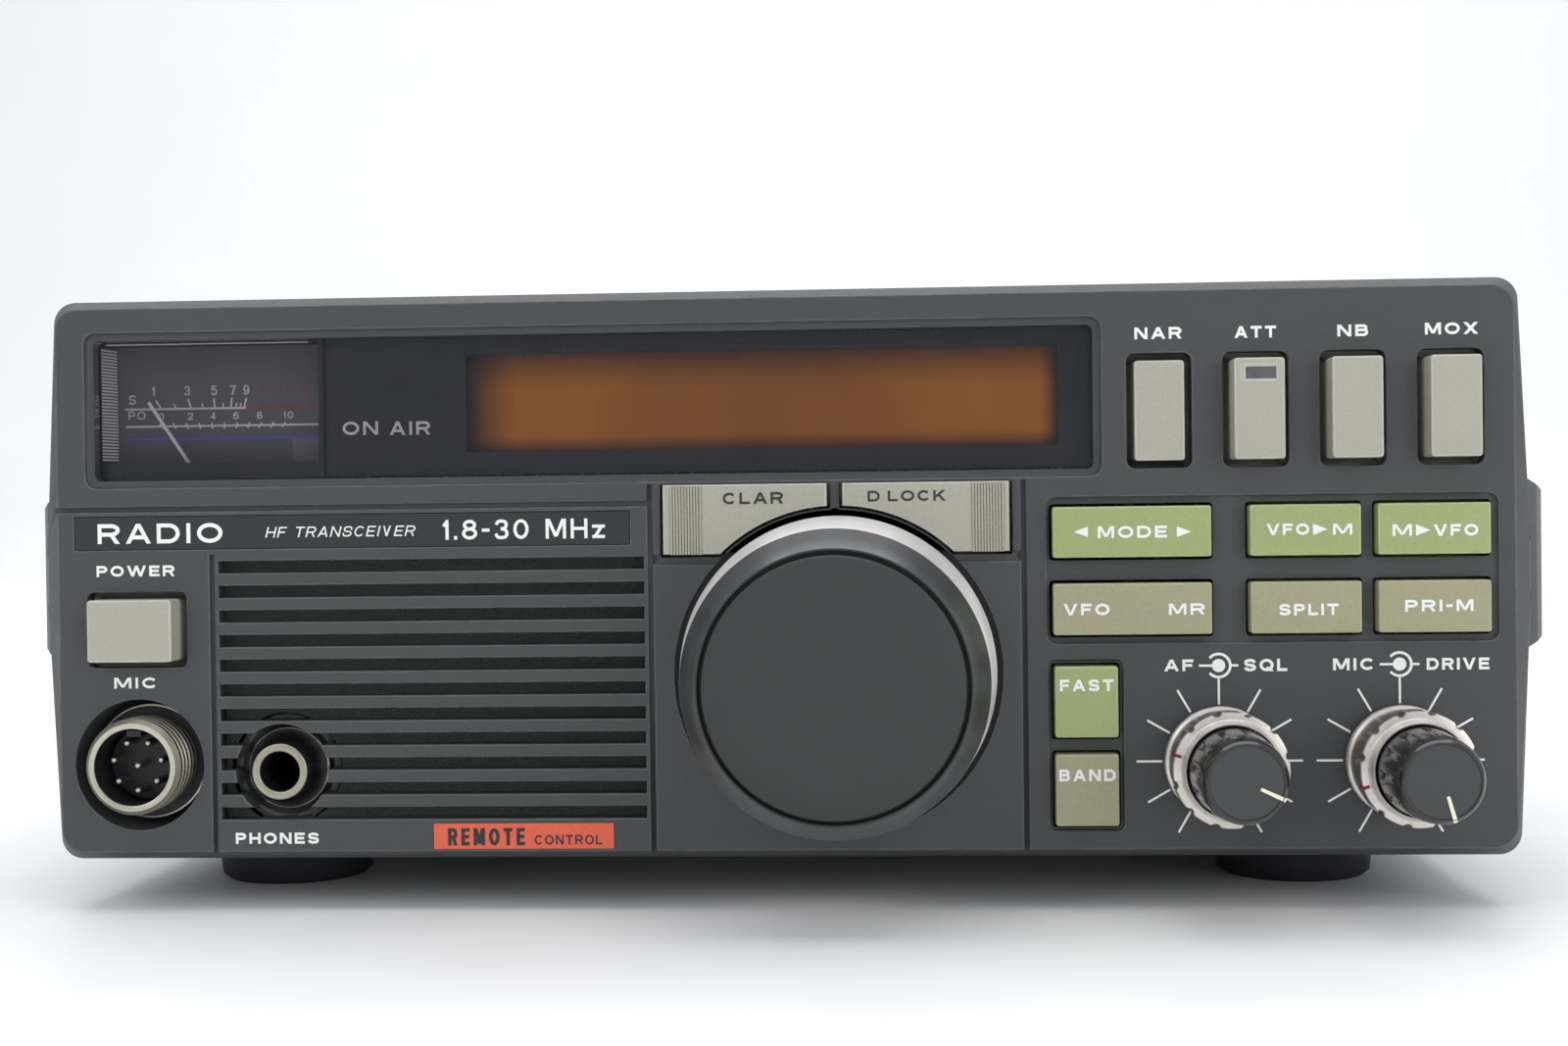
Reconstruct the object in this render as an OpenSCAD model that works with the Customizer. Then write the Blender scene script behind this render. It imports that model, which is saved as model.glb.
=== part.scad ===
// Table-top short-wave radio transceiver, in millimetres.
// +X is to the right as the operator sees it, +Y runs from the front panel to the back, +Z is up.
// The origin is at the middle of the footprint, on the surface that the feet stand on.
// Places on the front are given from the panel: x from its middle, y in from its face, z from its foot.

/* [Case] */
// Depth from the front face to the tips of the cooling fins
case_depth = 238; // [230:1:245]
// Width of the flat front face
face_w = 235; // [234:0.5:236]
// Height of the lower edge of the flat face
face_low = 1; // [0.6:0.1:1.4]
// Height of the upper edge of the flat face
face_top = 90; // [89.5:0.1:90.5]
// Width of the panel's rim at its corners
rim_w = 238.4; // [237.6:0.2:239]
// How far each side of the rim rises to its middle
side_peak = 1.75; // [0.5:0.25:2.5]
// Height of the underside of the rim
rim_low = -0.7; // [-0.9:0.1:-0.3]
// Height of the top of the rim
rim_top = 91.5; // [91:0.1:92]
// Depth of the bevel between the face and the rim
bevel_depth = 4; // [3.5:0.5:5]
// Depth of the moulded front panel
panel_depth = 14; // [13:0.5:15]
// Thickness of the panel's front wall
panel_wall = 3; // [2.6:0.1:3]
// Thickness of the panel's side walls
rim_wall = 2.4; // [2:0.1:2.6]
// Corner radius of the case
corner_r = 3.6; // [3:0.2:4]
// Thickness of the sheet steel covers
sheet = 1.2; // [1:0.1:1.4]
// Width across the covers
cover_w = 237.2; // [236.8:0.2:237.6]
// Height of the top cover's upper surface
cover_top = 90.6; // [90.2:0.1:91]
// Height at which the two covers meet
cover_split = 45.8; // [45.5:0.1:46]

/* [Feet and rails] */
// Height of the feet
foot_h = 8.8; // [6:0.2:12]
// Radius of the feet
foot_r = 14; // [12:0.5:15]
// Distance of the feet from the middle of the case
foot_x = 89; // [88:0.5:90]
// Distance of the front feet behind the face
foot_front_y = 36; // [32:1:40]
// Distance of the rear feet behind the face
foot_rear_y = 192; // [186:1:196]
// Width across the side rails
rail_w = 252.6; // [250:0.2:254]
// Lower and upper height of a rail at its root
rail_root_z = [29.4, 61.8]; // [28:0.1:63]
// Lower and upper height of a rail at its outer face
rail_face_z = [33.4, 57.6]; // [32:0.1:59]
// How far back the rails reach
rail_end = 206; // [200:1:210]
// Distances of the two bracket holes behind the face
bracket_y = [85, 135]; // [80:1:140]
// Height of the bracket holes
bracket_z = 51; // [50:0.5:52]
// Radius of the bracket holes
bracket_r = 2.5; // [2:0.1:2.6]

/* [Display] */
// Left and right edges of the window frame
frame_x = [-112.7, 52.7]; // [-113:0.1:53]
// Lower and upper edges of the window frame
frame_z = [60.6, 86]; // [60.5:0.1:86.5]
// Width and depth of the step inside the window frame
frame_step = 1.2; // [1:0.1:1.4]
// Left and right edges of the meter
meter_x = [-113, -75]; // [-114:0.5:-75]
// Lower and upper edges of the meter's face
meter_z = [64.8, 85.3]; // [64:0.1:86]
// Pivot of the meter needle, x and z
needle_pivot = [-93.2, 57.7]; // [-95:0.1:60]
// Length of the meter needle from its pivot
needle_len = 20.7; // [18:0.1:22]
// Angle of the resting needle, left of upright
needle_rest = 33.4; // [30:0.2:36]
// Left and right edges of the lit display
lcd_x = [-50.3, 46]; // [-52:0.1:47]
// Lower and upper edges of the lit display
lcd_z = [66.2, 81.7]; // [66:0.1:82]

/* [Tuning knob] */
// Knob axis, x and z
tune_axis = [10.3, 29.35]; // [10:0.05:29.5]
// Radius of the round recess in the panel
tune_hole_r = 26.4; // [26:0.1:26.6]
// Radius of the knob at its base
tune_base_r = 25.4; // [25:0.1:25.6]
// Radius of the bright side at its front
tune_side_r = 23.7; // [23:0.1:24.5]
// Radius of the dark disc on the front
tune_disc_r = 19.75; // [19:0.05:20]
// How far the knob stands out from the face
tune_reach = 25.9; // [24:0.1:28]
// Radius of the tuning shaft
tune_shaft_r = 3; // [2.5:0.1:3.2]

/* [Small knobs] */
// Height of both small knob axes
pot_z = 15; // [14.8:0.05:15.2]
// Position of the volume and squelch axis
pot_left_x = 70.8; // [70.5:0.05:71]
// Position of the microphone and drive axis
pot_right_x = 99.15; // [99:0.05:99.3]
// Radius of the outer ring knobs
ring_r = 8.95; // [8.7:0.05:9.3]
// How far the outer rings stand out
ring_reach = 12; // [11:0.1:12.5]
// How far the inner knobs stand out
inner_reach = 25.2; // [24:0.1:26]
// Angle of the squelch ring's mark, anticlockwise from three o'clock
squelch_mark = 164; // [150:1:180]
// Angle of the drive ring's mark
drive_mark = 198; // [180:1:210]
// Angle of the volume knob's pointer
volume_mark = -25; // [-60:1:0]
// Angle of the microphone knob's pointer
mic_gain_mark = -74; // [-76:1:-60]

/* [Push buttons] */
// Middle of the leftmost upper button
push_x = 61.85; // [61.6:0.05:62]
// Distance between the upper buttons
push_pitch = 15.22; // [15.1:0.02:15.3]
// Middle height of the upper buttons
push_z = 70.85; // [70.5:0.05:71]
// Width and height of an upper button
push_size = [7.9, 15.9]; // [7.5:0.1:16]
// Gap between a push button and its opening
push_gap = 1.2; // [0.8:0.1:1.2]
// How far the push buttons stand out
push_proud = 3.6; // [3:0.1:4]
// Travel of the push buttons
push_travel = 3; // [2:0.1:3]
// Middle of the power button, x and z
power_at = [-104.45, 37.4]; // [-105:0.05:38]
// Width and height of the power button
power_size = [13.9, 10.1]; // [13:0.1:14]
// Height range of the two wide buttons
wide_z = [48.8, 60]; // [48.6:0.1:60]
// Left and right edges of the clarifier button
clar_x = [-17.6, 8.8]; // [-18:0.1:9]
// Left and right edges of the dial lock button
lock_x = [11.3, 37.9]; // [11:0.1:38]
// How far the wide buttons stand out
wide_proud = 1; // [0.8:0.1:1.4]

/* [Keys] */
// Left and right edges of the two rocker keys
rocker_x = [44.7, 69.7]; // [44:0.1:70]
// Left and right edges of the middle keys
mid_key_x = [75.75, 93.1]; // [75:0.05:94]
// Left and right edges of the outer keys
out_key_x = [95.7, 113.2]; // [95:0.1:114]
// Lower and upper edges of the upper row
upper_z = [47.6, 55.7]; // [47:0.1:56]
// Lower and upper edges of the lower row
lower_z = [35.3, 43.5]; // [35:0.1:44]
// Left and right edges of the two small keys
step_key_x = [44.8, 54.8]; // [44:0.1:55]
// Lower and upper edges of the fast key
fast_z = [19, 30.3]; // [18.8:0.1:30.6]
// Lower and upper edges of the band key
band_z = [4.9, 16.3]; // [4.6:0.1:16.5]
// How far the keys stand out
key_proud = 1.4; // [1:0.1:1.8]
// Gap between a key and its opening
key_gap = 0.45; // [0.4:0.05:0.5]

/* [Left of the panel] */
// Lowest edge of the top slot of the grille
slot_top = 46.55; // [46:0.05:47]
// Height of a grille slot
slot_h = 1.95; // [1.6:0.05:2.1]
// Distance between grille slots
slot_pitch = 4.03; // [4:0.01:4.05]
// Number of grille slots
slot_count = 11; // [9:1:11]
// Left and right edges of the grille
grille_x = [-90.8, -20.9]; // [-91:0.1:-20.8]
// Microphone socket, x and z
mic_at = [-104.35, 15.3]; // [-104.5:0.05:15.5]
// Radius of the microphone socket's well
mic_well_r = 10.7; // [10.4:0.1:10.8]
// Outer radius of the microphone socket's threaded barrel
mic_barrel_r = 7.85; // [7.4:0.05:7.9]
// Inner radius of the barrel
mic_bore_r = 6.25; // [6:0.05:6.4]
// How far the barrel stands out
mic_proud = 3.4; // [3:0.1:5]
// Headphone socket, x and z
phones_at = [-80.75, 14.2]; // [-81:0.05:14.5]
// Radius of the headphone socket's well
phones_well_r = 7.6; // [7.4:0.1:7.8]
// Outer radius of the headphone bushing
phones_bush_r = 4.6; // [4.5:0.05:4.8]
// Radius of the headphone socket's bore
phones_bore_r = 3.25; // [3.2:0.01:3.3]
// How far the headphone bushing stands out
phones_proud = 1.2; // [1:0.1:1.5]
// Middle of the loudspeaker, x and z
speaker_at = [-46.5, 28]; // [-48:0.5:29]
// Radius of the loudspeaker
speaker_r = 21; // [19:0.5:21.5]

/* [Back] */
// Distance of the back panel behind the face
back_y = 216; // [212:1:218]
// Left and right edges of the heat sink, as seen from the front
sink_x = [-38, 106]; // [-38:1:108]
// Lower and upper edges of the heat sink
sink_z = [9, 84]; // [8:1:86]
// Number of cooling fins
fin_count = 15; // [9:1:17]
// Thickness of a cooling fin
fin_thick = 2.2; // [1.6:0.1:2.6]
// Radius of the aerial socket's threaded barrel
aerial_r = 7.9; // [7.8:0.05:8]
// Aerial socket, x and z
aerial_at = [-60, 66]; // [-62:1:68]
// Earth terminal, x and z
earth_at = [-98, 68]; // [-100:1:70]
// Power inlet, x and z
inlet_at = [-96, 29]; // [-97:1:30]
// Width and height of the power inlet's body
inlet_size = [18, 26]; // [16:0.5:26]
// Morse key socket, x and z
rear_key_at = [-58, 36.5]; // [-60:0.5:38]
// Loudspeaker socket, x and z
rear_speaker_at = [-78, 36.5]; // [-80:0.5:38]
// Height of the two accessory sockets
din_z = 17; // [16:0.5:18]
// Distances of the two accessory sockets left of the middle
din_left = [54, 74.2]; // [53:0.1:75]

/* [Hidden] */
$fn = 64;

face_y = (tune_reach - case_depth) / 2;
eps = 0.01;
past = 1;
running_gap = 0.05;
seat_gap = 0.1;
deck_z = 44;
sheet_gap = 1;
wall_x = cover_w / 2 - sheet - sheet_gap;
plate_y = panel_depth + 3;
cover_y = panel_depth + seat_gap;
cover_end = case_depth - 16;
groove = 0.8;
groove_depth = 0.8;
tray = 0.6;
flange_y = panel_wall + 0.5;
flange_thick = 1;
board_y = 15;
board_thick = 1.6;
switch_front = 13.2;
post_end = switch_front - 1;
post_r = 1.5;
rocker_pivot_y = 4.8;
trunnion_r = 1.2;
stem_r = 1.8;
recess_depth = 2.4;
disc_wall = 2;
screw_r = 1.5;
screw_head_r = 3;
screw_head_h = 1.6;
screw_top_at = [100, 26, 202];
rail_screw_y = [50, 175];
rail_screw_z = 39;
back_sheet = 1.6;
back_face = back_y + back_sheet;
flange_in = 80;
flange_low = 3;
flange_high = 88;
flange_sheet = 1.2;

frame_corner = 1.8;
opening_corner = 1;
push_hole_corner = 1.3;
key_tray_corner = 1.5;
key_hole_corner = 0.5;
key_corner = 0.4;
push_corner = 0.5;
pane_corner = 0.9;
pane_flange = [0.9, 0.7];
pane_sink = 0.1;
small_arc = 3;
screw_room = 0.2;
rim_land = 0.2;
foot_ys = [foot_front_y, foot_rear_y];
din_at = [for (x = din_left) [-x, din_z]];
wall = [-past, panel_wall + past];
tie_x = 84;
tie_zs = [2.2, 87.4];
tie_thick = 1.2;
tie_width = 14;
tie_reach = 6;
well_wall = 1.2;
socket_rib = 1.5;
mic_well_end = 9;
mic_floor = 7.5;
phones_well_end = 7;
phones_floor = 5.5;
pivot_rise = 2;
trunnion_room = 6;
pivot_post = [5, 2.4];
panel_bore_r = 4.6;
shaft_room = 1.5;
groove_x = [-19.8, 40.2];
speaker_groove_x = -91.85;
speaker_groove_top = 49.6;
strip_groove_z = 57.1;
strip_tray_x = [-114.7, -23.1];
strip_tray_z = [50.5, 56];
strip_gap = 0.1;
label_x = [-55.7, -26.3];
label_z = [1.4, 5.5];
label_thick = 0.15;
key_tray_x = [43.9, 114.7];
key_tray_z = [33.9, 57.2];
step_tray_x = [44, 55.7];
step_tray_z = [4, 31.3];
ledge_depth = 0.5;
ledge_h = 1.6;
wide_side_gap = 0.5;
wide_top_gap = 0.12;
power_gap = [1.3, 1.1];
mask_x = [-74, 51.5];
mask_y = [5, 6.2];
mask_z = [62.2, 85.4];
mask_gap = 0.3;
meter_y = [4.2, 14.2];
meter_foot = 51;
meter_skin = 0.8;
scale_y = [9.6, 10.4];
needle_y = [7, 7.4];
needle_w = 0.5;
meter_side = 1.5;
scale_room = 1.6;
needle_slot_w = 24;
needle_slot_end = 9;
needle_slot_low = 54;
guide_plan = [[-111.6, 4.5], [-110.85, 9.4], [-111.6, 9.4]];
guide_z = [65.2, 84.2];
needle_hub_y = [6.4, 7.8];
needle_hub_r = 1.6;
needle_pin_y = [7.7, 10.6];
needle_pin_r = 0.75;
pin_room = 0.4;
lcd_y = [7, 9.4];
lcd_back = 12.6;
lcd_border = 1.2;
lcd_glass = [5, 2];
display_board_x = [-72, 114];
display_board_z = [59.6, 86.4];
driver_chips_x = [-62, 18];
driver_chip = [12, 2, 8];
driver_chip_z = 64;
key_board_x = [41, 114.4];
key_board_z = [3.6, 58.8];
wide_board_x = [-19, 41.5];
wide_board_z = 50.5;
tact_size = 6;
rocker_reach = 9;
switch_size = 9;
switch_room = 9.6;
switch_face = 9.4;
wide_post_in = 5;
lamp_size = [5.2, 2.1];
lamp_rise = 5.6;
lamp_depth = 0.5;
index_step = 30;
step_count = 11;
notch_r = 0.78;
notch_at = 9.2;
notch_end = -3;
flute_r = 0.8;
flute_at = 7.2;
flute_y = [-21.5, -15.5];
press_gap = 0.02;
pot_nose_r = 4.4;
pot_nut_r = 7;
pot_can_r = 9;
pot_end = 32;
ring_tube_r = [2.95, 2.05];
pot_ring_room = 3;
inner_shaft_r = 2;
inner_shaft_end = 27;
mic_nut_r = 9.6;
mic_pin_r = 0.6;
mic_pin_circle = 4.1;
mic_pin_count = 7;
mic_pin_tip = -1.3;
mic_insert_face = 3.4;
mic_insert_end = 14.6;
phones_body = 13;
phones_end = 34;
phones_bore_end = 30;
phones_nut_r = 6.9;
cloth_x = [-92, -19.6];
cloth_z = [6, 49.9];
magnet_r = 11;
bolt_x = 109;
bolt_zs = [10, 80];
main_board_x = [-106, 106];
main_board_y = [40, back_y - 20];
main_board_z = 13;
chip_depth = 10;
coil = [9, 4];
can_sheet = 0.8;
can_hole_r = 1.8;
chips = [[-70, 60, 14, 6], [-40, 60, 10, 5], [-10, 90, 20, 4], [30, 60, 12, 8], [60, 110, 16, 5],
    [-60, 130, 24, 12], [10, 150, 14, 7], [50, 165, 18, 10]];
coils = [[-90, 90], [-84, 108], [0, 60], [84, 140], [84, 160], [-20, 175], [-36, 175], [20, 120]];
cans = [[-104, -52, 44, 104, 20], [-46, 20, 48, 110, 24], [28, 104, 44, 96, 18],
    [-104, -56, 112, 174, 26], [-48, 30, 118, 176, 16], [38, 104, 106, 176, 30]];
vent_pitch = 9.5;
vent_w = 3;
vent_r = 1.4;
top_vent_x = -71.25;
top_vent_count = 16;
top_vent_rows = [[118, 152], [162, 196]];
low_vent_x = -52.25;
low_vent_count = 12;
low_vent_y = [96, 140];
rail_shoulder = 1.6;
foot_seat = 2.6;
top_shank = 6;
foot_shank = 12.6;
rail_shank = 9;
rail_seat = 3;
sink_base = 4.4;
aerial_flange = 25.4;
aerial_hole = [9, 1.6];
aerial_reach = 14.5;
aerial_nose = 6.2;
aerial_bore_r = 5.3;
contact_r = [2.4, 1.9];
inlet_wall = 1.8;
inlet_lip = 1.6;
inlet_pin_r = 1.2;
inlet_pin_zs = [-7.5, 0, 7.5];
inlet_pin_x = 3.6;
earth_r = 2.5;
earth_end = 18;
din_r = 7.5;
din_flange_r = 9.4;
din_bore_r = 6.4;

// Spans along the depth that cut right through a board or a sheet.
board_hole = [board_y - past, board_y + board_thick + past];
plate_hole = [plate_y - past, plate_y + flange_sheet + past];
back_hole = [back_y - past, back_face + past];

key_lip = 1;
rocker_back = 1.6;
trunnion_reach = 1.8;
push_collar_y = [4, 5];
push_collar = [3.6, 3.4];
wide_lip_y = [4.8, 5.8];
wide_lip = [0.9, 1, 0.3];
knob_clear = 0.6;
pot_can_room = 10;
encoder_room = 17;

// Profiles turned about an axis: each point is a radius and a depth.
tune_shell = [[tune_shaft_r + press_gap, 0.8], [7, 0.8], [7, -17], [22.4, -17], [23, 1.2],
    [tune_base_r - 0.4, 1.2], [tune_base_r, 0.8], [tune_base_r, -1.5], [25.2, -4], [tune_side_r, -19.4],
    [22.8, -20.8], [20.7, -25.1], [20.3, -25.1], [20.3, -23.5], [tune_shaft_r + press_gap, -23.5]];
tune_cap = [[0, -23.6], [tune_disc_r, -23.6], [tune_disc_r, 0.3 - tune_reach],
    [tune_disc_r - 0.3, -tune_reach], [0, -tune_reach]];
tune_shaft_y = [-22, 30];
ring_tube_end = 24;
collar_h = 1.8;
ring_shell = [[ring_tube_r[1], -9.6], [7.12, -9.6], [7.12, -ring_reach - collar_h],
    [7.4, -ring_reach - collar_h], [7.8, -ring_reach], [ring_r - 0.4, -ring_reach],
    [ring_r, -ring_reach + 0.4], [ring_r, -8], [8.4, -7], [8.35, -2.7], [8.85, -2.5], [8.85, -1.2],
    [8.6, -1], [6, -1], [6, -6.5], [3.9, -6.5], [3.9, -0.6], [ring_tube_r[0], -0.6],
    [ring_tube_r[0], ring_tube_end], [ring_tube_r[1], ring_tube_end]];
inner_shell = [[0, -9.8], [6.8, -9.8], [6.95, -10.2], [6.93, -13], [6.6, -21.5], [6.5, 2.2 - inner_reach],
    [6.2, 0.6 - inner_reach], [5.75, -inner_reach], [0, -inner_reach]];
inner_back = -9.9;
pot_nut_h = 2.4;
pot_bore_end = 26;
pot_socket_y = [25, 29];
encoder_nose = [7, 4.8];
encoder_nut = [2.6, 7];
encoder_can = [36, 15];
encoder_bore_y = [6, 32];
mic_back = 12;
mic_barrel = [[0, -mic_proud], [7.15, -mic_proud], [mic_barrel_r, 0.8 - mic_proud],
    [mic_barrel_r, mic_back], [0, mic_back]];
mic_nut_y = [5.2, 10.6];
mic_key_w = 2.4;
mic_key_front = -2.4;
mic_key_rise = [4.9, 5.9];
mic_insert_gap = 0.02;
phones_bush_end = 9;
phones_nut_y = 3.9;
cloth_gap = 0.15;
cloth_y = [panel_wall + seat_gap, panel_wall + 0.5];
frame_ring = [[speaker_r - 2.6, 4], [speaker_r + 0.6, 4], [speaker_r + 0.6, 5.2], [speaker_r - 1.4, 5.2],
    [12, 12], [0, 12], [0, 11], [11.4, 11], [speaker_r - 2.6, 4.9]];
magnet_y = [12, plate_y - 0.4];
cone_shape = [[0, 8.6], [3, 8.8], [4.4, 9.8], [speaker_r - 4.2, 4.4], [speaker_r - 3, 4.4],
    [speaker_r - 3, 4.8], [speaker_r - 4.2, 4.8], [5, 10.5], [0, 10.5]];

// Openings in the chassis, and how far its flanges reach.
plate_tune_r = 4.9;
plate_pot_r = 4.5;
plate_mic_r = 6;
plate_phones = 14;
plate_cables_x = [-30, 84];
plate_cable_w = 24;
plate_cable_z = [54, 58];
tie_room = 0.4;
lug = 6;
top_flange_in = 92;
bolt_flange = [105, 2, 8];
foot_hole_h = 9;
wall_hole = [100, 30];
top_hole = [80, 20];
deck_hole = [deck_z - past, deck_z + flange_sheet + past];
deck_encoder_w = 32;
deck_encoder_end = 38;
deck_slots_x = [-80, 40];
deck_slot_w = 20;
deck_slot_y = [180, 196];
can_hole_step = 8;
can_hole_count = 3;
can_hole_in = 10;
cover_inner_r = 1.8;
cover_corner = 3;
cover_lap = 0.1;
bracket_room = 0.4;
rail_nose = [1.2, 1.6];
rail_tail = [12, 2];
rail_bore = 20;
rail_head = 4;
head_room = 0.3;
foot_taper = [1.8, 0.8, 0.8, 1.4];
slot_cut = [3.4, 0.7, 0.7];

// The back panel's openings and the parts that stand in them.
rear_z = [2.4, 87.6];
rear_side = 0.5;
rear_aerial_r = 6.3;
rear_earth_r = 2.6;
rear_key_r = 4.9;
rear_speaker_r = 3.2;
rear_din_r = 7.6;
aerial_plate = 1.8;
aerial_back = [9, 10, 12];
aerial_tip = 11;
inlet_y = [14, 6, 3];
inlet_frame = [6, 4];
inlet_pin_end = 0.4;
earth_back = 6;
earth_seat = [2.4, 5];
wing_hub_y = [4, 10];
wing_hub_r = 4.2;
wing_y = [5, 7];
wing_plan = [[3, -2.4], [9, -1.2], [10.4, 1.6], [9, 3.6], [3, 2.4]];
key_bush = [4.8, 5];
key_nut = [7, 2.1];
key_body = [13, 25, 22];
speaker_bush = [3.1, 4];
speaker_nut = [4.6, 1.9];
speaker_body = [9, 15, 13];
speaker_bore_r = 1.8;
nut_lift = 0.1;
din_back = [12, 4, 10];
din_front = 2.4;
din_pins = [4, 0.8];
din_pin_step = 45;
din_pin_count = 5;

body_grey = [0.26, 0.265, 0.27];
button_beige = [0.67, 0.67, 0.6];
key_green = [0.6, 0.66, 0.4];
key_olive = [0.6, 0.57, 0.45];
bright_metal = [0.78, 0.78, 0.76];
dark_plastic = [0.09, 0.09, 0.1];
steel = [0.6, 0.6, 0.58];
board_green = [0.12, 0.32, 0.18];

// Puts a part that is described from the panel into the case's own frame.
module on_panel() {
    translate([0, face_y, foot_h]) children();
}

// A block between two corners, given as a span along each axis.
module span(x, y, z) {
    translate([x[0], y[0], z[0]]) cube([x[1] - x[0], y[1] - y[0], z[1] - z[0]]);
}

// A round bar along the depth.
module rod(at, y, r) {
    translate([at[0], y[0], at[1]]) rotate([-90, 0, 0]) cylinder(h = y[1] - y[0], r = r);
}

// A round tube along the depth.
module pipe(at, y, outer, inner) {
    difference() {
        rod(at, y, outer);
        rod(at, [y[0] - past, y[1] + past], inner);
    }
}

// A flat outline in x and z, given thickness along the depth.
module slab(y) {
    translate([0, y[1], 0]) rotate([90, 0, 0]) linear_extrude(y[1] - y[0]) children();
}

// A profile of [radius, depth] points turned about an axis along the depth.
module turned(at, points) {
    translate([at[0], 0, at[1]]) rotate([-90, 0, 0]) rotate_extrude() polygon(points);
}

function arc(cx, cz, r, from, to, n) =
    [for (i = [0:n]) [cx + r * cos(from + (to - from) * i / n), cz + r * sin(from + (to - from) * i / n)]];

function polar(at, r, angle) = [at[0] + r * cos(angle), at[1] + r * sin(angle)];

function grow(range, by) = [range[0] - by, range[1] + by];

function mid(range) = (range[0] + range[1]) / 2;

function around(centre, size) = [centre - size / 2, centre + size / 2];

function rounded(x, z, r, n = 6) = concat(
    arc(x[1] - r, z[1] - r, r, 0, 90, n),
    arc(x[0] + r, z[1] - r, r, 90, 180, n),
    arc(x[0] + r, z[0] + r, r, 180, 270, n),
    arc(x[1] - r, z[0] + r, r, 270, 360, n));

// The rim's outline: a rounded rectangle whose sides rise to a blunt peak at mid height.
function peaked(half, peak, z, r, n = 8) = concat(
    arc(half - r, z[1] - r, r, 0, 90, n),
    arc(r - half, z[1] - r, r, 90, 180, n),
    [[-half - peak, mid(z) + r], [-half - peak, mid(z) - r]],
    arc(r - half, z[0] + r, r, 180, 270, n),
    arc(half - r, z[0] + r, r, 270, 360, n),
    [[half + peak, mid(z) - r], [half + peak, mid(z) + r]]);

push_middles = [for (i = [0:3]) push_x + i * push_pitch];
slot_lows = [for (i = [0:slot_count - 1]) slot_top - i * slot_pitch];
key_windows = [[mid_key_x, upper_z], [out_key_x, upper_z], [mid_key_x, lower_z], [out_key_x, lower_z],
    [rocker_x, upper_z], [rocker_x, lower_z], [step_key_x, fast_z], [step_key_x, band_z]];
rocker_rows = [upper_z, lower_z];

/* Front panel */

module panel_body() {
    hull() {
        slab([0, eps]) polygon(rounded([-face_w / 2, face_w / 2], [face_low, face_top], corner_r, 8));
        slab([bevel_depth - eps, bevel_depth])
            polygon(peaked(rim_w / 2, side_peak, [rim_low, rim_top], corner_r));
    }
    slab([bevel_depth, panel_depth]) polygon(peaked(rim_w / 2, side_peak, [rim_low, rim_top], corner_r));
}

module panel_hollow() {
    slab([panel_wall, panel_depth + past])
        polygon(peaked(rim_w / 2 - rim_wall, side_peak, [rim_low + rim_wall, rim_top - rim_wall], 2));
}

// The tubes and floors behind the face that hold the sockets, the knob and the rockers.
module panel_ribs() {
    rod(tune_axis, [recess_depth, recess_depth + disc_wall], tune_hole_r + 2);
    rod(mic_at, [panel_wall - eps, mic_well_end], mic_well_r + well_wall);
    rod(phones_at, [panel_wall - eps, phones_well_end], phones_well_r + socket_rib);
    for (row = rocker_rows, end = [-1, 1])
        span(around(mid(rocker_x), pivot_post[0]), [panel_wall - eps, phones_well_end],
            around(mid(row) + end * ((row[1] - row[0]) / 2 + pivot_rise), pivot_post[1]));
    for (side = [-1, 1], z = tie_zs)
        span(around(side * tie_x, tie_width), [panel_wall, panel_depth + tie_reach], [z, z + tie_thick]);
}

module panel_windows() {
    slab([-past, frame_step]) polygon(rounded(frame_x, frame_z, frame_corner));
    slab(wall)
        polygon(rounded(grow(frame_x, -frame_step), grow(frame_z, -frame_step), opening_corner));
    for (x = push_middles)
        slab(wall)
            polygon(rounded(around(x, push_size[0] + 2 * push_gap),
                around(push_z, push_size[1] + 2 * push_gap), push_hole_corner));
    slab(wall)
        polygon(rounded(around(power_at[0], power_size[0] + 2 * power_gap[0]),
            around(power_at[1], power_size[1] + 2 * power_gap[1]), opening_corner));
    slab([-past, tray]) polygon(rounded(key_tray_x, key_tray_z, key_tray_corner));
    slab([-past, tray]) polygon(rounded(step_tray_x, step_tray_z, opening_corner));
    for (w = key_windows)
        slab(wall)
            polygon(rounded(grow(w[0], key_gap), grow(w[1], key_gap), key_hole_corner, small_arc));
}

// The openings of the two wide buttons stop at the rim of the tuning knob's recess.
module wide_openings() {
    difference() {
        for (x = [clar_x, lock_x])
            span(grow(x, wide_side_gap), [-past, recess_depth + disc_wall + past],
                [wide_z[0] - wide_side_gap, wide_z[1] + wide_top_gap]);
        rod(tune_axis, [-2 * past, recess_depth + disc_wall + 2 * past], tune_hole_r + rim_land);
    }
    span(groove_x, [-past, ledge_depth], [wide_z[0] - ledge_h, wide_z[0]]);
}

module panel_grooves() {
    for (x = groove_x)
        span(around(x, groove), [-past, groove_depth], [rim_low - past, wide_z[1] + wide_top_gap]);
    span(around(speaker_groove_x, groove), [-past, groove_depth], [rim_low - past, speaker_groove_top]);
    span([-face_w, groove_x[0] + groove / 2], [-past, groove_depth], around(strip_groove_z, groove));
    span(strip_tray_x, [-past, tray], strip_tray_z);
    for (z = slot_lows)
        span(grille_x, wall, [z, z + slot_h]);
}

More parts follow.
